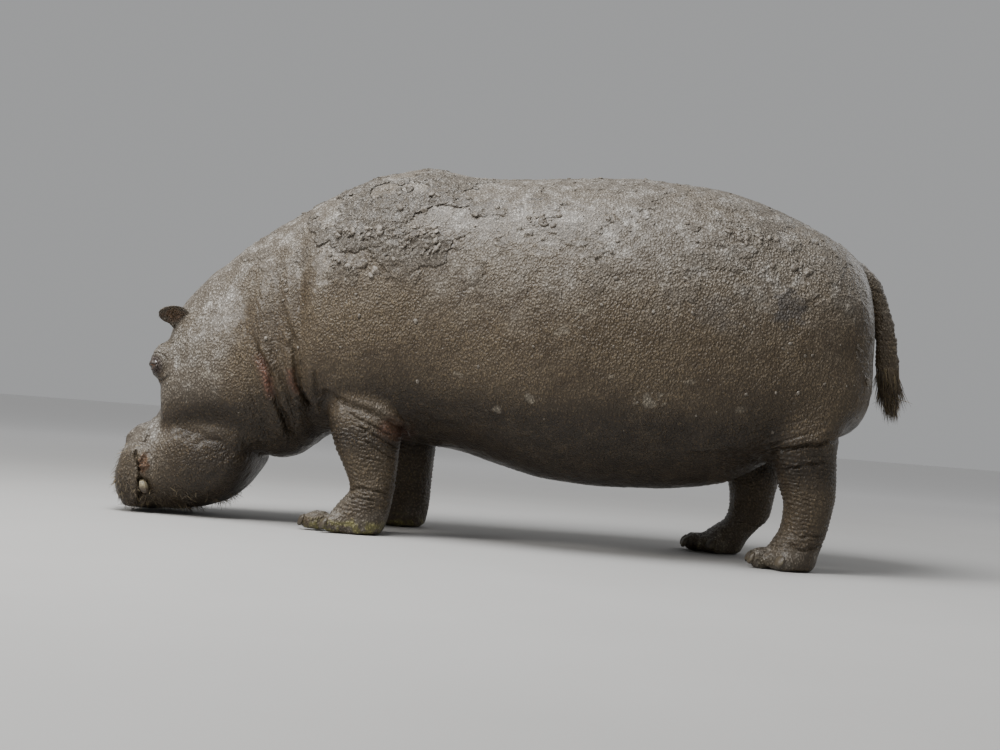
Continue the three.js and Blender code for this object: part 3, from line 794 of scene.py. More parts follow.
def formHeights(points):
    heights = relief["lumpy"] * (roughNoise(points, relief["lumpSize"], 31, 3) - 0.5) * 2
    heights += relief["pebble"] * (smoothNoise(points * [1, 1, 0.7], relief["pebbleSize"], 34) - 0.5) * 2
    for x, y, z, reach, height in forms:
        for sign in bothSides.values():
            q = np.linalg.norm(points - np.array([x, sign * y, z]) / 1000, axis=1) * 1000 / reach
            heights += height / 1000 * np.exp(-q ** 2)
    return heights


# thick wet mud lies in plates over the withers and along the back
mud = {
    "thick": 0.0085,
    "thin": 0.35,           # how full the mud is away from the withers
    "withers": (-440, 1190, 330, 200),  # middle x and z, half length, half height
    "full": 0.7, "lumps": 2.4, "clefts": 0.55,  # shares of the thickness
    "edge": (0.56, 0.59),   # the noise level where a plate starts and where it is full
    "plateSize": 0.085,
    "patches": [  # middle x and z, half length, half height, how surely mud lies there
        (-500, 1190, 170, 100, 0.34),
        (-330, 1270, 170, 90, 0.30),
        (-380, 1110, 110, 50, 0.20),
        (-520, 1060, 90, 60, 0.10),
        (-330, 1090, 120, 60, 0.16),
        (-150, 1250, 170, 80, 0.10),
        (760, 1290, 260, 80, 0.12),
        (1050, 1180, 160, 80, 0.09),
        (-700, 1080, 60, 40, 0.12),
    ],
}


def mudCover(points):
    x, _, z = points.T * 1000
    chance = 0.05 * fade(z, 1270, 1400) * fade(x, -850, -600) - 0.12 * fade(z, 1200, 1000)
    for px, pz, halfX, halfZ, surely in mud["patches"]:
        chance = np.maximum(chance, surely * np.exp(-((x - px) / halfX) ** 2 - ((z - pz) / halfZ) ** 2))
    chance *= fade(z, 880, 980)
    n = roughNoise(points * [1, 1, 1.25], mud["plateSize"], 41, 4) + chance
    withersX, withersZ, halfX, halfZ = mud["withers"]
    onWithers = np.exp(-((x - withersX) / halfX) ** 4 - ((z - withersZ) / halfZ) ** 4)
    return fade(n, *mud["edge"]) * fade(z, 880, 960) * (mud["thin"] + (1 - mud["thin"]) * onWithers)


def mudHeights(points, cover):
    rough = roughNoise(points, 0.028, 45, 3) - 0.5
    clotted = np.abs(roughNoise(points, 0.04, 48, 2) - 0.5) * 2
    return cover * mud["thick"] * (mud["full"] + mud["lumps"] * rough - mud["clefts"] * clotted)


cover = mudCover(smoothPoints)
points = points + normals * (formHeights(smoothPoints) + foldHeights(smoothPoints, smoothNormals))[:, None]
setPoints(hideMesh, points)
normals = meshNormals(hideMesh)
fineHeights = wrinkleHeights(smoothPoints, smoothNormals) * (1 - cover) + mudHeights(smoothPoints, cover)
points = points + normals * fineHeights[:, None]
print("folds, wrinkles and mud raised on the hide")


# lids round the eyes, nostrils, lips and toes

lids = {"thick": 0.0045, "wide": 0.92, "openUp": 0.40, "openDown": 0.34, "reach": 0.050, "tilt": -18}
nostrils = {
    "lump": (-1.402, 0.098, 0.294), "towards": (-0.42, 0.10, 0.90), "lumpReach": 0.012,
    "long": 0.025, "wide": 0.0085, "tall": 0.045, "deep": 0.026, "splay": 24, "rim": 0.005,
}
innerLip = {"middle": (-1.322, 0.205, 0.192), "long": 0.026, "tall": 0.052, "lump": 0.012, "size": 0.021}
socket = {"middle": (-1.322, 0.204, 0.106), "half": (0.026, 0.035), "deep": 0.015}


def eyeAxes(sign):
    # along the opening towards the nose, up across it, and the way the eye looks
    look = eyePlaces[sign][1]
    forward = unit(np.array([-1, 0, -0.25]) - look * np.dot([-1, 0, -0.25], look))
    up = np.cross(look, forward) * (1 if sign < 0 else -1)
    up = up if up[2] > 0 else -up
    tilt = math.radians(lids["tilt"])
    along = forward * math.cos(tilt) + up * math.sin(tilt)
    across = up * math.cos(tilt) - forward * math.sin(tilt)
    return along, across, look


def shapeLids(points, sign):
    place = eyePlaces[sign][0]
    forward, up, look = eyeAxes(sign)
    rel = points - place
    away = np.linalg.norm(rel, axis=1)
    picked = np.nonzero(away < lids["reach"])[0]
    way = rel[picked] / np.maximum(away[picked], 1e-6)[:, None]
    ahead = way @ look
    across = np.arctan2(way @ forward, np.maximum(ahead, 0.05))
    upward = np.arctan2(way @ up, np.maximum(ahead, 0.05))
    taperedTo = np.sqrt(np.clip(1 - (across / lids["wide"]) ** 2, 0, 1))
    edge = np.where(upward > 0, lids["openUp"], lids["openDown"]) * taperedTo
    opening = fade(np.abs(upward) - edge, 0.05, -0.05) * (np.abs(across) < lids["wide"]) * (ahead > 0.2)
    shell = eye["radius"] + lids["thick"] * (0.35 + 0.65 * fade(np.abs(upward) - edge, 0, 0.22))
    over = fade(ahead, 0.1, 0.55) * (1 - opening)
    current = away[picked]
    raised = np.maximum(current, shell)
    level = current + (np.clip(raised, shell, shell + 0.004) - current) * over
    level = level * (1 - opening) + eye["radius"] * 0.72 * opening
    points[picked] = place + way * level[:, None]


for sign in bothSides.values():
    shapeLids(points, sign)


def nearNostril(points, sign):
    # 0 at the middle of the slit, 1 at its edge; the slit sits where the nostril's lump is highest
    lump, towards = mirrored(nostrils["lump"], sign), unit(mirrored(nostrils["towards"], sign))
    rel = points - lump
    height = rel @ towards
    beside = np.linalg.norm(rel - height[:, None] * towards, axis=1)
    crest = points[np.argmax(np.where(beside < nostrils["lumpReach"], height, -9))]
    splay = math.radians(nostrils["splay"])
    along = np.array([-math.cos(splay), sign * math.sin(splay), 0])
    along = unit(along - towards * np.dot(along, towards))
    across = np.cross(towards, along)
    rel = points - crest
    return np.sqrt((rel @ along / nostrils["long"]) ** 2 + (rel @ across / nostrils["wide"]) ** 2
                   + (rel @ towards / nostrils["tall"]) ** 2)


# how far inside each nostril's slit a point lies, for the painted shade there
nostrilShade = np.zeros(len(points))
for sign in bothSides.values():
    q = nearNostril(points, sign)
    nostrilShade = np.maximum(nostrilShade, fade(q, 1.25, 0.7))
    slit = nostrils["deep"] * np.exp(-q ** 4) - nostrils["rim"] * np.exp(-((q - 1.9) / 0.6) ** 2)
    points -= normals * slit[:, None]
    rel = points - mirrored(innerLip["middle"], sign)
    q = np.hypot(rel[:, 0] / innerLip["long"], rel[:, 2] / innerLip["tall"])
    outward = normals[:, 1] * sign > 0.1
    lumpy = np.abs(smoothNoise(points, innerLip["size"], 51) - 0.5) * 2
    points += normals * (innerLip["lump"] * np.exp(-q ** 4) * (0.9 - 1.6 * lumpy) * outward)[:, None]
    rel = points - mirrored(socket["middle"], sign)
    q = np.hypot(rel[:, 0] / socket["half"][0], rel[:, 2] / socket["half"][1])
    points -= normals * (socket["deep"] * np.exp(-q ** 6) * outward)[:, None]


# clefts between the toes: the angles they lie at, how wide in degrees and how deep in metres
clefts = {"between": (-32, 0, 32), "wide": 4.5, "deep": 0.011, "top": 0.11}
for part in legs.values():
    for sign in bothSides.values():
        rel = points - np.array([*padMiddle(part, sign), 0]) / 1000
        low = (points[:, 2] < clefts["top"]) & (np.hypot(rel[:, 0], rel[:, 1]) < 0.24) & (rel[:, 0] < 0.05)
        picked = np.nonzero(low)[0]
        angle = np.degrees(np.arctan2(rel[picked, 1], -rel[picked, 0]))
        cleft = np.zeros(len(picked))
        for between in clefts["between"]:
            cleft += np.exp(-((angle - between) / clefts["wide"]) ** 2)
        depth = clefts["deep"] * cleft * fade(points[picked, 2], clefts["top"], 0.05)
        depth = depth * fade(-rel[picked, 0], -0.02, 0.05)
        points[picked] -= normals[picked] * depth[:, None]
points[:, 2] = np.maximum(points[:, 2], 0) * fade(points[:, 2], 0.002, 0.009)  # flat soles, at the floor
setPoints(hideMesh, points)
normals = meshNormals(hideMesh)
print("lids, nostrils, lips and toes shaped")


# where the hide is dry, wet, flushed or green, and where painted sheen and painted shade lie, as shares from
# 0 to 1 at each point

tints = {
    "flush": [  # sore pink skin beside the creases: the line, how wide and how strong
        ([(-905, 650), (-874, 588), (-846, 520), (-828, 462)], 0.016, 1.0),
        ([(-772, 600), (-752, 540), (-730, 490)], 0.012, 0.7),
        ([(-420, 410), (-345, 385), (-320, 350)], 0.035, 0.6),
    ],
    "dry": [  # pale dried splashes
        (563, 567, 42, 18, 1.0), (144, 543, 20, 13, 0.8), (28, 492, 26, 11, 0.7), (310, 868, 22, 12, 0.6),
        (252, 792, 34, 16, 0.5), (974, 1075, 24, 10, 0.7), (-1050, 545, 46, 12, 0.5),
        (700, 640, 20, 9, 0.5),
        (-120, 610, 14, 8, 0.6), (420, 640, 12, 7, 0.5), (880, 560, 18, 9, 0.4),
    ],
    "shade": [  # painted shade in the hollows and under the body: jaw, throat, neck roll, flank fold and behind the thigh
        (-1080, 190, 190, 120, 0.85), (-740, 400, 75, 120, 0.8), (-900, 300, 110, 60, 0.8),
        (-1170, 290, 90, 60, 0.75), (-1050, 305, 150, 50, 1.0), (-1190, 322, 90, 40, 1.0),
        (-870, 760, 90, 130, 0.3), (900, 350, 150, 50, 0.9), (930, 520, 220, 130, 0.62),
        (-560, 430, 160, 40, 0.3),
    ],
    "smear": [(1016, 923, 52, 62, 0.9), (760, 900, 70, 60, 0.4)],  # dark and smooth
    "dryLips": (-1.31, 0.21, 0.11, 0.14),  # middle x and z, half length, half height
    "algaeTop": 0.062,
    "lid": 0.036,           # how far the lids' colour reaches from the eye
}


def blotches(points, spots, seed, ragged=1.1):
    total = np.zeros(len(points))
    n = roughNoise(points, 0.022, seed, 3)
    for x, z, halfX, halfZ, strength in spots:
        q = np.hypot((points[:, 0] * 1000 - x) / halfX, (points[:, 2] * 1000 - z) / halfZ)
        total = np.maximum(total, strength * fade(q + ragged * (n - 0.5) * 2, 1.15, 0.75))
    return total


def flushShare(points):
    total = np.zeros(len(points))
    ragged = (roughNoise(points, 0.03, 66, 3) - 0.5) * 0.02
    for line, wide, strength in tints["flush"]:
        for sign in bothSides.values():
            picked, distance, share = nearLine(points, line, wide * 2.5, sign)
            near = np.exp(-((distance + ragged[picked]) / wide) ** 2)
            near = near * fade(share, 0, 0.25) * fade(1 - share, 0, 0.25)
            total[picked] = np.maximum(total[picked], strength * near)
    return total


def addShare(mesh, name, values):
    layer = mesh.attributes.new(name, "FLOAT", "POINT")
    layer.data.foreach_set("value", np.ascontiguousarray(values, np.float32))


def hideShares(points, normals, cover):
    x, y, z = points.T
    up = normals[:, 2]
    patchy = roughNoise(points, 0.22, 61, 3)
    streaky = roughNoise(points * [1, 1, 0.45], 0.06, 62, 3)
    # paler upper surfaces: partly a dried film of mud and partly painted sheen of the light from above; on
    # the cheek and the muzzle (onHead) it is painted key light
    onHead = fade(x, -0.95, -1.1) * fade(z, 0.36, 0.47) + fade(x, -1.24, -1.31) * fade(z, 0.2, 0.28)
    dryFilmAndSheen = fade(up + 0.5 * (patchy - 0.5) + 0.35 * (streaky - 0.5) + 0.35 * fade(z, 0.6, 1.2)
                + 0.75 * np.minimum(onHead, 1), 0.0, 0.95)
    # wet mud on the lower body, together with painted shade on the surfaces that face down and low down
    wetAndShade = fade(-up + 0.5 * (patchy - 0.5) + 0.85 * fade(z, 0.64, 0.26), 0.1, 0.9)
    wetAndShade *= 1 - 0.75 * fade(z, 0.36, 0.26) * alongLegs(x, -0.7, -0.25, 0.8)
    # painted shade in the listed hollows and creases
    for px, pz, halfX, halfZ, strength in tints["shade"]:
        near = np.exp(-((x * 1000 - px) / halfX) ** 2 - ((z * 1000 - pz) / halfZ) ** 2)
        wetAndShade = np.maximum(wetAndShade, strength * near * (0.7 + 0.6 * patchy))
    dryX, dryZ, halfX, halfZ = tints["dryLips"]
    lipsDry = np.exp(-((x - dryX) / halfX) ** 2 - ((z - dryZ) / halfZ) ** 2)
    wetAndShade *= (1 - 0.9 * lipsDry) * (1 - 0.8 * isEar)
    # the dry lips and the ears get the same pale film with painted sheen
    dryFilmAndSheen = np.maximum(dryFilmAndSheen, np.maximum(0.55 * lipsDry * fade(streaky, 0.3, 0.6), 0.4 * isEar))
    # painted shade inside the nostrils' slits
    wetAndShade = np.maximum(wetAndShade, nostrilShade)
    dryFilmAndSheen *= 1 - 0.8 * wetAndShade
    toeTop = fade(z + 0.04 * (roughNoise(points, 0.03, 63) - 0.5), tints["algaeTop"], 0.03)
    feet = alongLegs(x, -0.72, -0.30, 0.8) & (z < 0.12)
    # the toes' tops too: pale film with painted sheen
    dryFilmAndSheen = np.maximum(dryFilmAndSheen, 0.6 * feet * fade(z, 0.11, 0.06) * fade(streaky, 0.3, 0.6))
    algae = toeTop * feet * fade(roughNoise(points, 0.02, 64), 0.38, 0.55) * fade(x, 1.3, -0.2)
    lipX, _, lipZ = innerLip["middle"]
    q = np.hypot((x - lipX) / innerLip["long"], (z - lipZ) / innerLip["tall"])
    lipFlesh = fade(q + 0.8 * (roughNoise(points, 0.02, 65) - 0.5), 1.0, 0.6) * (np.abs(y) > 0.12)
    roundEye = fromEyes(points)
    lipFlesh = np.maximum(lipFlesh, 0.7 * earInside * fade(roughNoise(points, 0.025, 69), 0.42, 0.6))
    return {
        "cover": cover, "dryFilmAndSheen": dryFilmAndSheen, "wetAndShade": wetAndShade, "algae": algae, "lipFlesh": lipFlesh,
        "lid": fade(roundEye, tints["lid"] * 1.3, tints["lid"] * 0.8),
        "flush": flushShare(points), "dry": blotches(points, tints["dry"], 67, 1.6),
        "smear": np.maximum(blotches(points, tints["smear"], 68), earTip * 0.45),
    }


shares = hideShares(smoothPoints, smoothNormals, cover)
for name, values in shares.items():
    addShare(hideMesh, name, values)


# an unwrap of the hide: each region is laid out from six sides, and the pieces are set on shelves

layout = {"gap": 0.012, "patch": 0.003, "tailFront": 1.385, "legTop": 0.36, "widths": (3.0, 7.0, 0.1)}


def regionOf(places):
    x, y, z = places.T
    region = np.zeros(len(places), int)  # trunk
    region[x < -1.0 - 0.28 * (z - 0.6)] = 1  # head
    low = (z < layout["legTop"]) & (np.abs(y) > 0.13)
    fore, hind = low & (x > -0.66) & (x < -0.22), low & (x > 0.82)
    region[fore & (y < 0)], region[fore & (y > 0)] = 2, 3
    region[hind & (y < 0)], region[hind & (y > 0)] = 4, 5
    region[x > layout["tailFront"]] = 6
    return region


def shelves(sizes, width):
    places, x, y, tall = {}, 0, 0, 0
    for key, (w, h) in sorted(sizes.items(), key=lambda item: -item[1][1]):
        if x + w > width and x > 0:
            x, y, tall = 0, y + tall + layout["gap"], 0
        places[key] = (x, y)
        x += w + layout["gap"]
        tall = max(tall, h)
    return places, y + tall


def unwrap(mesh, form, formNormals):
    corners = readOut(mesh.loops, "vertex_index", kind=np.int64)
    counts = readOut(mesh.polygons, "loop_total", kind=np.int64)
    faceOf = np.repeat(np.arange(len(counts)), counts)
    middles, facing = (np.stack([np.bincount(faceOf, values[corners, k]) / counts for k in range(3)], 1)
                       for values in (form, formNormals))
    way = np.argmax(np.abs(facing), axis=1)
    sideways = way * 2 + (facing[np.arange(len(way)), way] > 0)
    region = regionOf(middles)
    region[isEar[corners[np.cumsum(counts) - 1]]] = 7
    chart = (region * 6 + sideways)[faceOf]
    wayOf = way[faceOf]
    seenFrom = [form[corners][:, pair] for pair in ([1, 2], [0, 2], [0, 1])]
    flat = np.choose(wayOf[:, None], seenFrom)
    sizes, lows = {}, {}
    for key in np.unique(chart):
        inside = flat[chart == key]
        lows[key] = inside.min(0)
        sizes[key] = tuple(inside.max(0) - inside.min(0))
    widths = np.arange(*layout["widths"])
    across, width = min((max(width, shelves(sizes, width)[1]), width) for width in widths)
    places, _ = shelves(sizes, width)
    uv = np.empty_like(flat)
    for key, place in places.items():
        inside = chart == key
        uv[inside] = (flat[inside] - lows[key] + place) / across
    layer = mesh.uv_layers.new(name="OFBake")
    layer.data.foreach_set("uv", uv.ravel())
    atPoints = np.zeros((len(form), 2))
    atPoints[corners] = uv
    print("unwrapped the hide in", len(sizes), "pieces,", round(across, 2), "m across")
    return atPoints


uvAtPoints = unwrap(hideMesh, smoothPoints, smoothNormals)


# roots for bristles and clods, spread by area over chosen parts of the hide

faceCount = len(hideMesh.polygons)
faceAreas = readOut(hideMesh.polygons, "area")
faceMiddles = readOut(hideMesh.polygons, "center", 3)
faceWays = readOut(hideMesh.polygons, "normal", 3)
firstCorners = readOut(hideMesh.polygons, "loop_start", kind=np.int64)
facePoint = readOut(hideMesh.loops, "vertex_index", kind=np.int64)[firstCorners]


def pickRoots(count, where, seed):
    # where: the share of each face that may carry a root
    rng = np.random.default_rng(seed)
    chance = faceAreas * where
    chosen = rng.choice(faceCount, count, replace=False, p=chance / chance.sum())
    return faceMiddles[chosen], faceWays[chosen], uvAtPoints[facePoint[chosen]], rng


def coatMesh(name, points, faces, rootUvs, pointsEach):
    # one mesh of many small pieces; every piece has its patch of the unwrap at its root
    mesh = makeMesh(name, points.reshape(-1, 3), faces)
    spread = np.stack([np.linspace(-0.5, 0.5, pointsEach),
                       np.tile([-0.5, 0.0, 0.5], pointsEach)[:pointsEach]], axis=1)
    uvs = (rootUvs[:, None, :] + layout["patch"] * spread[None]).reshape(-1, 2)
    corners = readOut(mesh.loops, "vertex_index", kind=np.int64)
    layer = mesh.uv_layers.new(name="OFBake")
    layer.data.foreach_set("uv", uvs[corners].ravel())
    return mesh


def growBristles(name, roots, ways, uvs, lie, spec, rng):
    # thin tapered locks that leave the hide and lean over to the way they lie
    count, steps, sides = len(roots), spec["steps"], 3
    length = spec["length"] * (1 + spec["lengthSpread"] * (rng.random(count) * 2 - 1))
    radius = spec["radius"] * (0.7 + 0.6 * rng.random(count))
    lean = lie + rng.normal(0, spec["untidy"], (count, 3))
    lean -= ways * np.sum(lean * ways, axis=1, keepdims=True)
    lean /= np.linalg.norm(lean, axis=1, keepdims=True) + 1e-9
    lift = spec["lift"] * (0.6 + 0.8 * rng.random(count))
    start = ways * lift[:, None] + lean * (1 - lift)[:, None]
    start /= np.linalg.norm(start, axis=1, keepdims=True)
    bend = lean * spec["bend"] + rng.normal(0, spec["untidy"] * 0.5, (count, 3)) + [0, 0, -spec["hang"]]
    t = (np.arange(steps) / steps)[None, :, None]
    line = (roots[:, None] - ways[:, None] * 0.002
            + length[:, None, None] * (start[:, None] * t + bend[:, None] * t ** 2))
    tip = roots + length[:, None] * (start + bend)
    line[..., 2] = np.maximum(line[..., 2], 2 * radius[:, None])  # nothing reaches under the floor
    tip[:, 2] = np.maximum(tip[:, 2], 0.001)
    across = np.cross(start, ways + 1e-3)
    across /= np.linalg.norm(across, axis=1, keepdims=True) + 1e-9
    other = np.cross(start, across)
    angles = np.arange(sides) * 2 * math.pi / sides
    thin = radius[:, None, None, None] * (1 - 0.75 * t[..., None])
    ring = (np.cos(angles)[None, None, :, None] * across[:, None, None, :]
            + np.sin(angles)[None, None, :, None] * other[:, None, None, :])
    tube = (line[:, :, None, :] + thin * ring).reshape(count, steps * sides, 3)
    points = np.concatenate([tube, tip[:, None]], axis=1)
    each = steps * sides + 1
    pattern = []
    for s in range(steps - 1):
        for k in range(sides):
            a, b = s * sides + k, s * sides + (k + 1) % sides
            pattern += [(a, b, b + sides), (a, b + sides, a + sides)]
    last = (steps - 1) * sides
    pattern += [(last + k, last + (k + 1) % sides, each - 1) for k in range(sides)] + [(2, 1, 0)]
    faces = (np.array(pattern)[None] + (np.arange(count) * each)[:, None, None]).reshape(-1, 3)
    mesh = coatMesh(name, points, faces, uvs, each)
    darkest, palest = spec["tones"]
    addShare(mesh, "tone", np.repeat(darkest + (palest - darkest) * rng.random(count), each))
    return mesh


# finishes

class Nodes:
    # a short way to lay out a material's nodes
    def __init__(self, name):
        self.material = bpy.data.materials.new(name)
        self.material.use_nodes = True
        self.tree = self.material.node_tree
        self.shader = self.tree.nodes["Principled BSDF"]

    def put(self, kind, inputs=None, **settings):
        node = self.tree.nodes.new("ShaderNode" + kind)
        for key, value in settings.items():
            setattr(node, key, value)
        for key, value in (inputs or {}).items():
            self.feed(node.inputs[key], value)
        return node

    def feed(self, socket, value):
        if isinstance(value, bpy.types.NodeSocket):
            self.tree.links.new(value, socket)
        else:
            socket.default_value = value

    def share(self, name):
        return self.put("Attribute", attribute_name=name).outputs["Fac"]

    def math(self, operation, a, b=0.0, c=0.0, clamp=False):
        node = self.put("Math", operation=operation, use_clamp=clamp)
        for socket, value in zip(node.inputs, (a, b, c)):
            self.feed(socket, value)
        return node.outputs[0]

    def mix(self, amount, a, b, blend="MIX"):
        node = self.put("Mix", data_type="RGBA", blend_type=blend)
        self.feed(node.inputs[0], amount)
        self.feed(node.inputs[6], colour(a))
        self.feed(node.inputs[7], colour(b))
        return node.outputs[2]

    def blend(self, amount, a, b):
        node = self.put("Mix", data_type="FLOAT")
        for socket, value in zip(node.inputs[:1] + node.inputs[2:4], (amount, a, b)):
            self.feed(socket, value)
        return node.outputs[0]

    def span(self, value, low, high, start=0.0, end=1.0):
        ends = {"From Min": low, "From Max": high, "To Min": start, "To Max": end}
        return self.put("MapRange", {"Value": value, **ends}, interpolation_type="SMOOTHSTEP").outputs[0]

    def noise(self, place, scale, detail=4.0, rough=0.55, twist=0.0):
        return self.put("TexNoise", {"Vector": place, "Scale": scale, "Detail": detail,
                                     "Roughness": rough, "Distortion": twist}).outputs["Fac"]

    def bumps(self, layers):
        # layers: height, strength, distance, the finest last
        normal = None
        for height, strength, distance in layers:
            node = self.put("Bump", {"Height": height, "Strength": strength, "Distance": distance})
            if normal:
                self.feed(node.inputs["Normal"], normal)
            normal = node.outputs[0]
        self.feed(self.shader.inputs["Normal"], normal)

    def finish(self, base, roughness, **constants):
        self.feed(self.shader.inputs["Base Color"], colour(base))
        self.feed(self.shader.inputs["Roughness"], roughness)
        for key, value in constants.items():
            self.shader.inputs[key].default_value = value
        return self.material


def colour(value):
    return (*value, 1) if isinstance(value, tuple) else value


hideFinish = {
    "mud": (0.150, 0.113, 0.068), "mudDark": (0.075, 0.053, 0.030), "creviceShade": (0.022, 0.016, 0.011),
    # the pale top colours: a dried film of mud with painted sheen of the light from above
    "dryFilmAndSheen": (0.300, 0.274, 0.238), "dryFilmAndSheenPale": (0.46, 0.435, 0.395),
    # the mud plates: the pale top colour with its painted sheen, darkened by painted shade between the clots
    "plates": (0.300, 0.274, 0.238), "platesShade": (0.14, 0.118, 0.092), "platesShare": 0.35,
    "tints": {  # laid on in this order: the colour, and how full it gets
        # the wet mud colour, which also carries painted shade under the body and in the hollows
        "wetAndShade": ((0.062, 0.040, 0.018), 0.92), "smear": ((0.080, 0.072, 0.068), 0.9),
        "flush": ((0.19, 0.075, 0.050), 0.8), "dry": ((0.34, 0.30, 0.235), 0.85),
        "algae": ((0.27, 0.25, 0.085), 0.9), "lid": ((0.055, 0.035, 0.037), 0.8),
        "lipFlesh": ((0.17, 0.088, 0.046), 0.9),
    },
    "wetAndShadeCrevice": (0.010, 0.0062, 0.0030),  # painted shade between the pebbles, in the wet and shaded parts
    "pebble": 0.0070,       # metres from one pebble of the hide to the next
    "bumps": {  # strength and height in metres
        "patches": (0.5, 0.005), "clots": (1.0, 0.017), "pebbles": (1.0, 0.0060), "grain": (0.8, 0.0026),
        "fine": (0.5, 0.0009),
    },
    "roughness": (0.34, 0.58), "roughPlates": 0.62, "roughDamp": 0.36, "roughDry": 0.8,
    "wet": 0.13, "wetRoughness": 0.22, "sheen": 0.26,
}


def makeHide():
    look = hideFinish
    n = Nodes("mudCoatedHide")
    place = n.put("TexCoord").outputs["Object"]
    broad = n.noise(place, 3.2, 5, 0.6)
    patchy = n.noise(place, 17, 5, 0.65)
    grain = n.noise(place, 130, 4, 0.6)
    fine = n.noise(place, 420, 3, 0.6)
    # the pebbled hide: cells stretched two ways across each other
    cells = []
    for turn, stretch in ((0.75, (1.0, 1.0, 0.72)), (-0.75, (1.0, 1.0, 0.78))):
        tilted = n.put("Mapping", {"Vector": place, "Rotation": (0, turn, 0), "Scale": stretch}).outputs[0]
        swirl = n.put("TexNoise", {"Vector": place, "Scale": 40.0, "Detail": 2.0}).outputs["Color"]
        swirl = n.put("VectorMath", {0: swirl, "Scale": 0.008}, operation="SCALE").outputs[0]
        warped = n.put("VectorMath", {0: tilted, 1: swirl}, operation="ADD").outputs[0]
        cells.append(n.put("TexVoronoi", {"Vector": warped, "Scale": 1 / look["pebble"], "Smoothness": 0.6},
                           feature="SMOOTH_F1").outputs["Distance"])
    pebble = n.math("SUBTRACT", 1.0, n.math("MULTIPLY", n.math("ADD", *cells), 0.75))
    pebbleRelief = n.math("MULTIPLY", pebble, n.span(broad, 0.32, 0.62, 0.5, 1.0))
    cover, dryFilmAndSheen, wetAndShade = n.share("cover"), n.share("dryFilmAndSheen"), n.share("wetAndShade")
    base = n.mix(n.span(broad, 0.35, 0.65), look["mudDark"], look["mud"])
    base = n.mix(n.span(patchy, 0.3, 0.75), base, look["mud"])
    dryFilmAndSheenHeld = n.math("ADD", patchy, n.math("MULTIPLY", pebble, 0.35))  # the pale film and the painted sheen are stronger on the pebbles' tops
    dryFilmAndSheenAmount = n.math("MULTIPLY", dryFilmAndSheen, n.span(dryFilmAndSheenHeld, 0.45, 0.95, 0.35, 1.0))
    base = n.mix(dryFilmAndSheenAmount, base, n.mix(n.span(patchy, 0.45, 0.7), look["dryFilmAndSheen"], look["dryFilmAndSheenPale"]))
    crumbs = n.noise(place, 70, 5, 0.7, 0.6)
    # the plates darken where their crumbly relief is low: painted shade between the clots
    plates = n.mix(n.span(n.math("ADD", grain, crumbs), 0.75, 1.15), look["platesShade"], look["plates"])
    base = n.mix(n.math("MULTIPLY", cover, look["platesShare"]), base, plates)
    for name, (tint, amount) in look["tints"].items():
        patchyAmount = n.span(n.math("ADD", grain, patchy), 0.7, 1.1, amount * 0.45, amount)
        broken = n.math("MULTIPLY", n.share(name), patchyAmount)
        # in the wet and shaded parts, painted shade deepens between the pebbles
        if name == "wetAndShade":
            tint = n.mix(n.span(pebble, 0.35, 0.75), look["wetAndShadeCrevice"], tint)
        base = n.mix(broken, base, tint)
    # painted shade in the hollows between the pebbles
    base = n.mix(n.span(pebble, 0.25, 0.6, 0.6, 0.0), base, look["creviceShade"])
    roughness = n.blend(n.span(patchy, 0.3, 0.7), *look["roughness"])
    roughness = n.blend(cover, roughness, look["roughPlates"])
    roughness = n.blend(n.math("MULTIPLY", wetAndShade, 0.6), roughness, look["roughDamp"])
    roughness = n.blend(n.math("MULTIPLY", n.share("dry"), 0.8), roughness, look["roughDry"])
    heights = {"patches": patchy, "clots": n.math("MULTIPLY", crumbs, cover), "pebbles": pebbleRelief,
               "grain": grain, "fine": fine}
    n.bumps([(height, *look["bumps"][key]) for key, height in heights.items()])
    return n.finish(base, roughness, **{"Coat Weight": look["wet"], "Coat Roughness": look["wetRoughness"],
                                        "Specular IOR Level": look["sheen"]})


bristleFinish = {
    "dark": (0.036, 0.026, 0.016), "brown": (0.16, 0.122, 0.075), "straw": (0.38, 0.30, 0.17),
    "brownFrom": (0.45, 0.8), "strawFrom": (0.86, 0.93),  # the tones where it starts and where it is full
    "mud": (0.095, 0.075, 0.052), "mudShare": 0.6, "roughness": (0.35, 0.6),
}


def makeBristle():
    look = bristleFinish
    n = Nodes("bristle")
    tone = n.share("tone")  # 0 for the darkest bristles, 1 for straw
    place = n.put("TexCoord").outputs["Object"]
    base = n.mix(n.span(tone, *look["brownFrom"]), look["dark"], look["brown"])
    base = n.mix(n.span(tone, *look["strawFrom"]), base, look["straw"])
    base = n.mix(n.span(n.noise(place, 60, 3), 0.45, 0.65, 0.0, look["mudShare"]), base, look["mud"])
    n.bumps([(n.noise(place, 900, 2), 0.4, 0.0003)])
    return n.finish(base, n.blend(n.noise(place, 200), *look["roughness"]))


clodFinish = {
    "dark": (0.085, 0.069, 0.050), "pale": (0.215, 0.188, 0.155),
    # the darker colour of the wetter clods, picked by each clod's tone
    "wetAndShade": (0.055, 0.042, 0.028), "dampShare": 0.7, "roughness": (0.38, 0.7),
}


def makeClod():
    look = clodFinish
    n = Nodes("mudClods")
    place = n.put("TexCoord").outputs["Object"]
    grain = n.noise(place, 150, 4)
    base = n.mix(n.span(grain, 0.35, 0.65), look["dark"], look["pale"])
    base = n.mix(n.span(n.share("tone"), 0.4, 0.9, 0.0, look["dampShare"]), base, look["wetAndShade"])
    n.bumps([(grain, 0.8, 0.002), (n.noise(place, 420), 0.5, 0.0008)])
    return n.finish(base, n.blend(grain, *look["roughness"]))


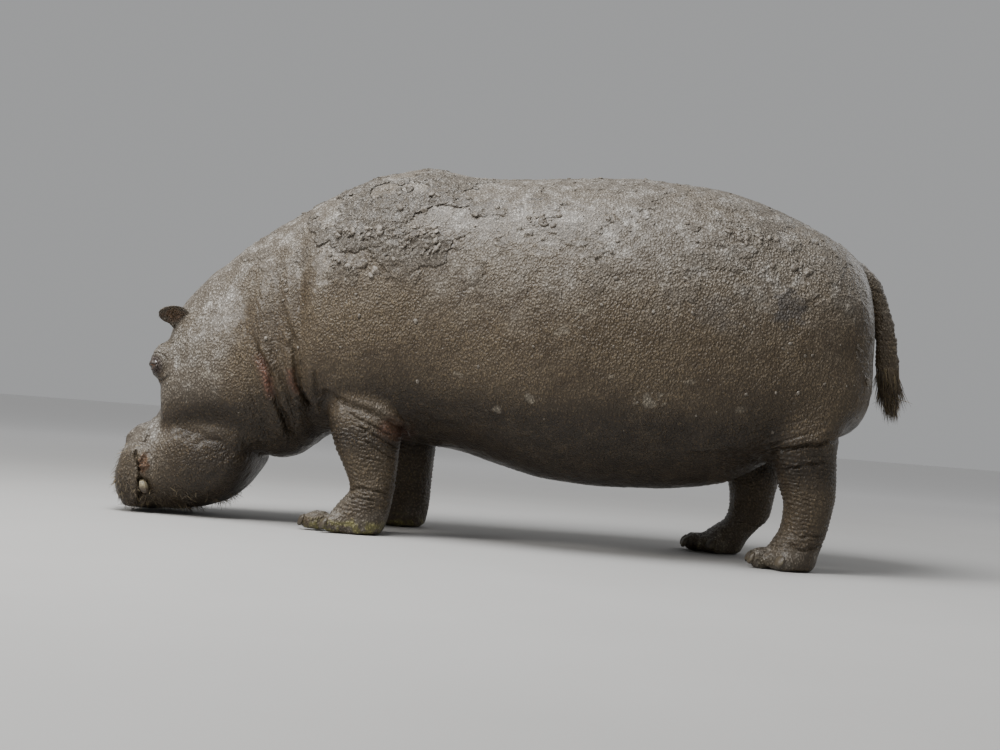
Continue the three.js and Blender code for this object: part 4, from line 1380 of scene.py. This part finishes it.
eyeFinish = {
    "pupil": (0.002, 0.002, 0.002), "irisDark": (0.030, 0.014, 0.007), "iris": (0.095, 0.044, 0.018),
    "whiteDark": (0.050, 0.026, 0.021), "white": (0.11, 0.066, 0.055),
    "pupilEdge": (0.26, 0.30), "irisEdge": (0.62, 0.72),  # from the middle of the pupil
    "roughness": (0.03, 0.06), "wet": 0.6, "wetRoughness": 0.04,
}


def makeEye():
    look = eyeFinish
    n = Nodes("wetEye")
    away = n.share("fromPupil")
    place = n.put("TexCoord").outputs["Object"]
    streaks = n.noise(place, 500, 3)
    iris = n.mix(n.span(streaks, 0.3, 0.7), look["irisDark"], look["iris"])
    base = n.mix(n.span(away, *look["pupilEdge"]), look["pupil"], iris)
    white = n.mix(n.noise(place, 300), look["whiteDark"], look["white"])
    base = n.mix(n.span(away, *look["irisEdge"]), base, white)
    n.bumps([(n.noise(place, 260), 0.05, 0.0004)])
    return n.finish(base, n.span(streaks, 0.3, 0.7, *look["roughness"]),
                    **{"Coat Weight": look["wet"], "Coat Roughness": look["wetRoughness"]})


tuskFinish = {
    "ivory": (0.40, 0.35, 0.235), "stained": (0.25, 0.20, 0.115),
    "root": (0.05, 0.036, 0.022),
    "rootFrom": (0.66, 0.3),  # shares of the height where it starts and where it is full
    "mud": (0.085, 0.066, 0.045), "mudShare": 0.85, "roughness": (0.3, 0.5),
}


def makeTusk():
    look = tuskFinish
    n = Nodes("stainedIvory")
    place = n.put("TexCoord").outputs["Object"]
    streaks = n.noise(n.put("Mapping", {"Vector": place, "Scale": (6, 6, 1)}).outputs[0], 30, 4)
    base = n.mix(n.span(streaks, 0.35, 0.65), look["ivory"], look["stained"])
    base = n.mix(n.span(n.share("along"), *look["rootFrom"]), base, look["root"])
    base = n.mix(n.span(n.noise(place, 90, 4), 0.46, 0.62, 0, look["mudShare"]), base, look["mud"])
    n.bumps([(streaks, 0.35, 0.0009), (n.noise(place, 300), 0.3, 0.0004)])
    return n.finish(base, n.blend(streaks, *look["roughness"]))


nailFinish = {
    "horn": (0.075, 0.058, 0.038), "hornDark": (0.040, 0.030, 0.020),
    "algae": (0.15, 0.14, 0.065), "algaeShare": 0.7,
    "mud": (0.095, 0.075, 0.050), "mudShare": 0.85, "roughness": (0.35, 0.6),
}


def makeNail():
    look = nailFinish
    n = Nodes("muddyNail")
    place = n.put("TexCoord").outputs["Object"]
    rows = n.noise(n.put("Mapping", {"Vector": place, "Scale": (1, 1, 5)}).outputs[0], 60, 4)
    base = n.mix(n.span(rows, 0.3, 0.7), look["horn"], look["hornDark"])
    base = n.mix(n.span(n.noise(place, 55, 4), 0.50, 0.64, 0, look["algaeShare"]), base, look["algae"])
    base = n.mix(n.span(n.noise(place, 30, 4), 0.44, 0.58, 0, look["mudShare"]), base, look["mud"])
    n.bumps([(rows, 0.5, 0.0012), (n.noise(place, 260), 0.4, 0.0005)])
    return n.finish(base, n.blend(rows, *look["roughness"]))


floorFinish = {
    "near": (0.38, 0.37, 0.355), "nearPale": (0.42, 0.41, 0.395),
    "far": (0.84, 0.83, 0.82), "fading": (3.0, 10.0),  # paler away from the animal, so that the edge is soft
    "roughness": 0.75,
}


def makeFloor():
    look = floorFinish
    n = Nodes("paleFloor")
    place = n.put("TexCoord").outputs["Object"]
    base = n.mix(n.noise(place, 1.5, 3), look["near"], look["nearPale"])
    away = n.put("VectorMath", {0: place}, operation="LENGTH").outputs["Value"]
    base = n.mix(n.span(away, *look["fading"]), base, look["far"])
    n.bumps([(n.noise(place, 90, 4), 0.08, 0.002)])
    return n.finish(base, look["roughness"])


finishes = {"hide": makeHide(), "bristle": makeBristle(), "clod": makeClod(), "eye": makeEye(),
            "tusk": makeTusk(), "nail": makeNail(), "floor": makeFloor()}
print("finishes made:", ", ".join(finishes))


# the skin stands for every node of flesh

fleshNodes = [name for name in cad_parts
              if not name.startswith(("eye", "canine", "nail", "tail_tuft"))]


def toFrame(mesh):
    # from the tables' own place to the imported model's
    mesh.transform(Matrix.Translation((shiftX, 0, 0)))
    return mesh


showMesh("skin", toFrame(hideMesh), finishes["hide"], fleshNodes)
print("skin placed")


# eyes, tusks and nails

eyeball = {"rings": 40, "around": 64, "cornea": 0.07, "corneaWide": 0.5, "pupil": (0.75, 1.25)}
tusk = {
    "middle": (-1.322, 0.204, 0.106), "half": (0.018, 0.022, 0.030), "rings": 36, "around": 48,
    "square": 0.85, "slim": 0.42, "lean": -0.30,
    "patchyAmount": (0.75, 0.5),    # where the tip is ground flat, and how far aslant
    "grooves": 9, "groove": 0.0007, "lumps": (0.009, 0.0016),
}
nail = {
    "half": (0.011, 0.022, 0.023), "height": 0.036, "lean": 24, "reach": 0.048, "rings": 22, "around": 36,
    "square": 0.9, "thinner": 0.35,
    "ridges": 26, "ridge": 0.0006, "lumps": (0.45, 0.0022),
}


def domeRings(rings, around):
    # a ball's points from its first pole to its last, and its faces; the poles are the last two points
    polar = np.linspace(0, math.pi, rings + 2)[1:-1]
    turn = np.linspace(0, 2 * math.pi, around, endpoint=False)
    p, t = np.meshgrid(polar, turn, indexing="ij")
    ball = np.stack([np.sin(p) * np.cos(t), np.sin(p) * np.sin(t), np.cos(p)], axis=2)
    points, faces = closedLoft(ball)
    points[-2], points[-1] = (0, 0, 1), (0, 0, -1)
    return points, faces[:, ::-1]


def makeEyeball(sign):
    place = eyePlaces[sign][0]
    points, faces = domeRings(eyeball["rings"], eyeball["around"])
    away = np.arccos(np.clip(points[:, 2], -1, 1))
    bulge = 1 + eyeball["cornea"] * np.exp(-(away / eyeball["corneaWide"]) ** 4)
    forward, up, look = eyeAxes(sign)
    basis = np.stack([forward, up, look])
    mesh = facingOut(makeMesh("eye", place + (points * bulge[:, None] * eye["radius"]) @ basis, faces))
    long, tall = eyeball["pupil"]
    addShare(mesh, "fromPupil", np.hypot(points[:, 0] * long, points[:, 1] * tall) + 2.0 * (points[:, 2] < 0))
    return mesh


def makeTuskMesh(sign):
    points, faces = domeRings(tusk["rings"], tusk["around"])
    turn = np.arctan2(points[:, 1], points[:, 0])
    rounded = signedPower(points, tusk["square"])
    slim = 1 - tusk["slim"] * fade(points[:, 2], -0.5, 1.0)
    shaped = rounded * np.stack([slim, slim, np.ones(len(points))], 1) * tusk["half"]
    shaped[:, 0] += tusk["lean"] * shaped[:, 2]
    patchyAmount, aslant = tusk["patchyAmount"]
    shaped[:, 2] = np.minimum(shaped[:, 2], patchyAmount * tusk["half"][2] - aslant * np.abs(shaped[:, 1]))
    shaped[:, :2] += points[:, :2] * (tusk["groove"] * np.sin(tusk["grooves"] * turn))[:, None]
    size, lump = tusk["lumps"]
    shaped += (smoothNoise(shaped + 5, size, 71) - 0.5)[:, None] * points * lump
    mesh = facingOut(makeMesh("tusk", shaped * [1, sign, 1] + mirrored(tusk["middle"], sign), faces))
    addShare(mesh, "along", (points[:, 2] + 1) / 2)
    return mesh


def makeNails(part, sign, seed):
    allPoints, allFaces = [], []
    size, lump = nail["lumps"]
    for i, (x, y, turn) in enumerate(toePlaces(part, sign)):
        points, faces = domeRings(nail["rings"], nail["around"])
        shaped = signedPower(points, nail["square"]) * nail["half"]
        shaped[:, 0] *= 1 - nail["thinner"] * fade(points[:, 2], 0.1, 1.0)  # towards the root
        shaped += points * nail["ridge"] * np.sin(points[:, 1] * nail["ridges"])[:, None]
        shaped += points * lump * (smoothNoise(points + 7 * i, size, seed) - 0.5)[:, None]
        angle = math.radians(turn)
        turned = Matrix.Rotation(angle, 3, "Z") @ Matrix.Rotation(math.radians(nail["lean"]), 3, "Y")
        middle = [x / 1000 - nail["reach"] * math.cos(angle), y / 1000 - nail["reach"] * math.sin(angle),
                  nail["height"]]
        allFaces.append(faces + len(points) * i)
        allPoints.append(shaped @ np.array(turned).T + middle)
    return facingOut(makeMesh("nails", np.vstack(allPoints), np.vstack(allFaces)))


for sideName, sign in bothSides.items():
    title = sideName.capitalize()
    showMesh("eye" + title, toFrame(makeEyeball(sign)), finishes["eye"], ["eye_" + sideName])
    showMesh("tusk" + title, toFrame(makeTuskMesh(sign)), finishes["tusk"], ["canine_" + sideName])
    for seed, (legName, part) in enumerate(legs.items()):
        replaced = [f"nail_{legName}_{sideName}_{i}" for i in range(1, len(toes) + 1)]
        showMesh(f"nails{legName.capitalize()}{title}", toFrame(makeNails(part, sign, 72 + seed)),
                 finishes["nail"], replaced)
print("eyes, tusks and nails made")


# bristles on the lips, chin, ears and tail

bristles = {  # lie: the way they point along the hide
    "lips": {
        "count": 800, "length": 0.021, "lengthSpread": 0.65, "radius": 0.0012, "lift": 0.34, "bend": 0.25,
        "untidy": 0.6, "hang": 0.10, "steps": 4, "tones": (0.4, 0.97), "lie": (0.15, 0, -0.9),
    },
    "chin": {
        "count": 520, "length": 0.020, "lengthSpread": 0.6, "radius": 0.0013, "lift": 0.5, "bend": 0.2,
        "untidy": 0.5, "hang": 0.25, "steps": 4, "tones": (0.2, 0.95), "lie": (0.6, 0, -0.5),
    },
    "ears": {
        "count": 240, "length": 0.010, "lengthSpread": 0.5, "radius": 0.0006, "lift": 0.6, "bend": 0.2,
        "untidy": 0.4, "hang": 0.05, "steps": 3, "tones": (0.5, 0.95), "lie": (-0.8, 0, 0.2),
    },
    "tail": {
        "count": 1300, "length": 0.058, "lengthSpread": 0.5, "radius": 0.0018, "lift": 0.06, "bend": 0.25,
        "untidy": 0.09, "hang": 0.10, "steps": 5, "tones": (0.45, 0.95), "lie": (0.12, 0, -1.0),
    },
}


def clumped(where, size, seed, low=0.45, high=0.6):
    return where * fade(roughNoise(faceMiddles, size, seed, 2), low, high)


def growOn(name, where, spec, seed, replaced=()):
    roots, ways, uvs, rng = pickRoots(spec["count"], where, seed)
    lie = np.broadcast_to(spec["lie"], roots.shape).astype(float)
    mesh = growBristles(name, roots, ways, uvs, lie, spec, rng)
    showMesh(name, toFrame(mesh), finishes["bristle"], replaced)
    print(name, "of", len(mesh.polygons), "faces")


faceX, faceY, faceZ = faceMiddles.T
faceIsEar = isEar[facePoint]
lipWhere = (faceX < -1.36) * fade(faceZ, 0.34, 0.10) * fade(faceZ, 0.012, 0.03) * ~faceIsEar
lipWhere = lipWhere + (faceX < -1.25) * (faceX > -1.36) * fade(faceZ, 0.16, 0.08) * fade(faceZ, 0.012, 0.03)
growOn("lipBristles", clumped(lipWhere, 0.03, 81), bristles["lips"], 82)
chinWhere = ((faceX > -1.30) & (faceX < -0.90) & ~faceIsEar) * fade(faceZ, 0.14, 0.06)
chinWhere = chinWhere * fade(faceZ, 0.014, 0.03)
growOn("chinBristles", clumped(chinWhere, 0.04, 83), bristles["chin"], 84)
earWhere = faceIsEar * fade(np.abs(earInside[facePoint] - 0.3), 0.3, 0.05) * fade(faceX, -1.18, -1.22)
growOn("earBristles", earWhere, bristles["ears"], 85)
tailWhere = (faceX > layout["tailFront"]) * fade(faceZ, 0.79, 0.72)
growOn("tailBristles", clumped(tailWhere, 0.016, 86, 0.35, 0.5), bristles["tail"], 87, ["tail_tuft"])


# crumbs and clods of mud stuck on the back and the flanks

clods = {
    "back": {"count": 500, "size": (0.003, 0.011), "seed": 91},
    "flank": {"count": 650, "size": (0.0022, 0.008), "seed": 92},
    "withers": {"count": 520, "size": (0.004, 0.014), "seed": 93},
    "flat": 0.42, "sunk": 0.12, "lumps": 2,
    "heaps": [  # clots that hang together: x, z, half length, half height
        (-614, 1104, 45, 14), (-480, 1112, 40, 14), (-398, 1212, 34, 14), (-297, 1200, 30, 14),
        (-377, 1066, 34, 22), (-262, 1052, 30, 22), (-638, 1010, 26, 22), (-554, 975, 26, 16),
        (-470, 960, 18, 14), (-300, 1120, 60, 30), (120, 1190, 50, 22), (860, 1190, 60, 30),
        (1080, 1090, 40, 30), (1290, 800, 14, 20), (1330, 700, 12, 16), (-820, 900, 20, 20),
    ],
}


def makeClods(key, where):
    name, spec = key + "Clods", clods[key]
    roots, ways, uvs, rng = pickRoots(spec["count"], where, spec["seed"])
    template = bmesh.new()
    bmesh.ops.create_icosphere(template, subdivisions=clods["lumps"], radius=1)
    ball = np.array([v.co for v in template.verts])
    pattern = np.array([[v.index for v in f.verts] for f in template.faces])
    template.free()
    small, large = spec["size"]
    size = small + (large - small) * rng.random(len(roots)) ** 3.5
    stretch = 0.7 + 0.6 * rng.random((len(roots), 1, 3))
    shape = ball[None] * stretch
    apart = shape + np.arange(len(roots))[:, None, None] * 3.1  # so that no two are alike
    rough = smoothNoise(apart.reshape(-1, 3), 0.7, spec["seed"])
    shape = shape * (0.35 + 1.3 * rough.reshape(len(roots), -1, 1))
    side = np.cross(ways, [0.3, 0.2, 0.93])
    side /= np.linalg.norm(side, axis=1, keepdims=True)
    other = np.cross(ways, side)
    points = (shape[..., :1] * side[:, None] + shape[..., 1:2] * other[:, None]
              + (shape[..., 2:] * clods["flat"] + clods["sunk"]) * ways[:, None])
    points = roots[:, None] + points * size[:, None, None]
    faces = (pattern[None] + (np.arange(len(roots)) * len(ball))[:, None, None]).reshape(-1, 3)
    mesh = coatMesh(name, points, faces, uvs, len(ball))
    addShare(mesh, "tone", np.repeat(rng.random(len(roots)), len(ball)))
    showMesh(name, toFrame(mesh), finishes["clod"])
    print(name, "of", len(mesh.polygons), "faces")


coverAtFaces = cover[facePoint]
onBack = coverAtFaces + fade(faceZ, 0.95, 1.25) * 0.18
onFlank = fade(faceZ, 0.35, 0.9) * fade(np.abs(faceY), 0.1, 0.2) * (faceX < 1.36)
inHeaps = np.zeros(faceCount)
for heapX, heapZ, halfLong, halfTall in clods["heaps"]:
    along, up = (faceX * 1000 - heapX) / halfLong, (faceZ * 1000 - heapZ) / halfTall
    inHeaps += np.exp(-along ** 4 - up ** 4)
for key, where in {"back": onBack, "flank": onFlank * (1 - coverAtFaces), "withers": inHeaps}.items():
    makeClods(key, where * ~faceIsEar)


# floor, lights and camera

studio = {
    "floorRadius": 70.0, "world": (0.84, 0.85, 0.86), "worldStrength": 0.44, "lampsLookAt": (0, 0, 0.6),
    "lamps": [  # place, size, power, colour
        ((-1.2, -1.6, 5.2), 3.5, 480, (0.96, 0.98, 1.0)),
        ((-4.6, -3.4, 3.8), 1.8, 215, (1.0, 0.98, 0.95)),
        ((4.5, 3.5, 3.2), 3.0, 50, (0.97, 0.98, 1.0)),
    ],
}
shot = {
    "target": (-0.014, 0, 0.634), "distance": 5.40, "azimuth": 5, "elevation": -2, "roll": 4.45,
    "lens": 50, "sensor": 36,
}


def makeFloorPlane():
    bm = bmesh.new()
    bmesh.ops.create_circle(bm, cap_ends=True, segments=128, radius=studio["floorRadius"])
    mesh = bpy.data.meshes.new("floor")
    bm.to_mesh(mesh)
    bm.free()
    mesh.materials.append(finishes["floor"])
    intoScene("floor", mesh)


def makeLights():
    for i, (place, size, power, tint) in enumerate(studio["lamps"]):
        lamp = bpy.data.lights.new(f"softLight{i}", "AREA")
        lamp.shape, lamp.size, lamp.energy, lamp.color = "DISK", size, power, tint
        holder = intoScene(f"softLight{i}", lamp)
        holder.location = place
        away = Vector(studio["lampsLookAt"]) - Vector(place)
        holder.rotation_euler = away.to_track_quat("-Z", "Y").to_euler()
    world = bpy.data.worlds.new("paleRoom")
    world.use_nodes = True
    sky = world.node_tree.nodes["Background"]
    sky.inputs["Color"].default_value = colour(studio["world"])
    sky.inputs["Strength"].default_value = studio["worldStrength"]
    bpy.context.scene.world = world


def makeCamera():
    azimuth, elevation, roll = (math.radians(shot[key]) for key in ("azimuth", "elevation", "roll"))
    forward = Vector((-math.sin(azimuth) * math.cos(elevation), math.cos(azimuth) * math.cos(elevation),
                      -math.sin(elevation)))
    right = Vector((math.cos(azimuth), math.sin(azimuth), 0))
    up = right.cross(forward)
    across = right * math.cos(roll) + up * math.sin(roll)
    upright = up * math.cos(roll) - right * math.sin(roll)
    place = Vector(shot["target"]) + Vector((shiftX, 0, 0)) - forward * shot["distance"]
    data = bpy.data.cameras.new("camera")
    data.lens, data.sensor_width = shot["lens"], shot["sensor"]
    camera = intoScene("camera", data)
    turned = Matrix((across, upright, -forward)).transposed().to_4x4()
    camera.matrix_world = Matrix.Translation(place) @ turned
    bpy.context.scene.camera = camera


makeFloorPlane()
makeLights()
makeCamera()
print("floor, lights and camera set")
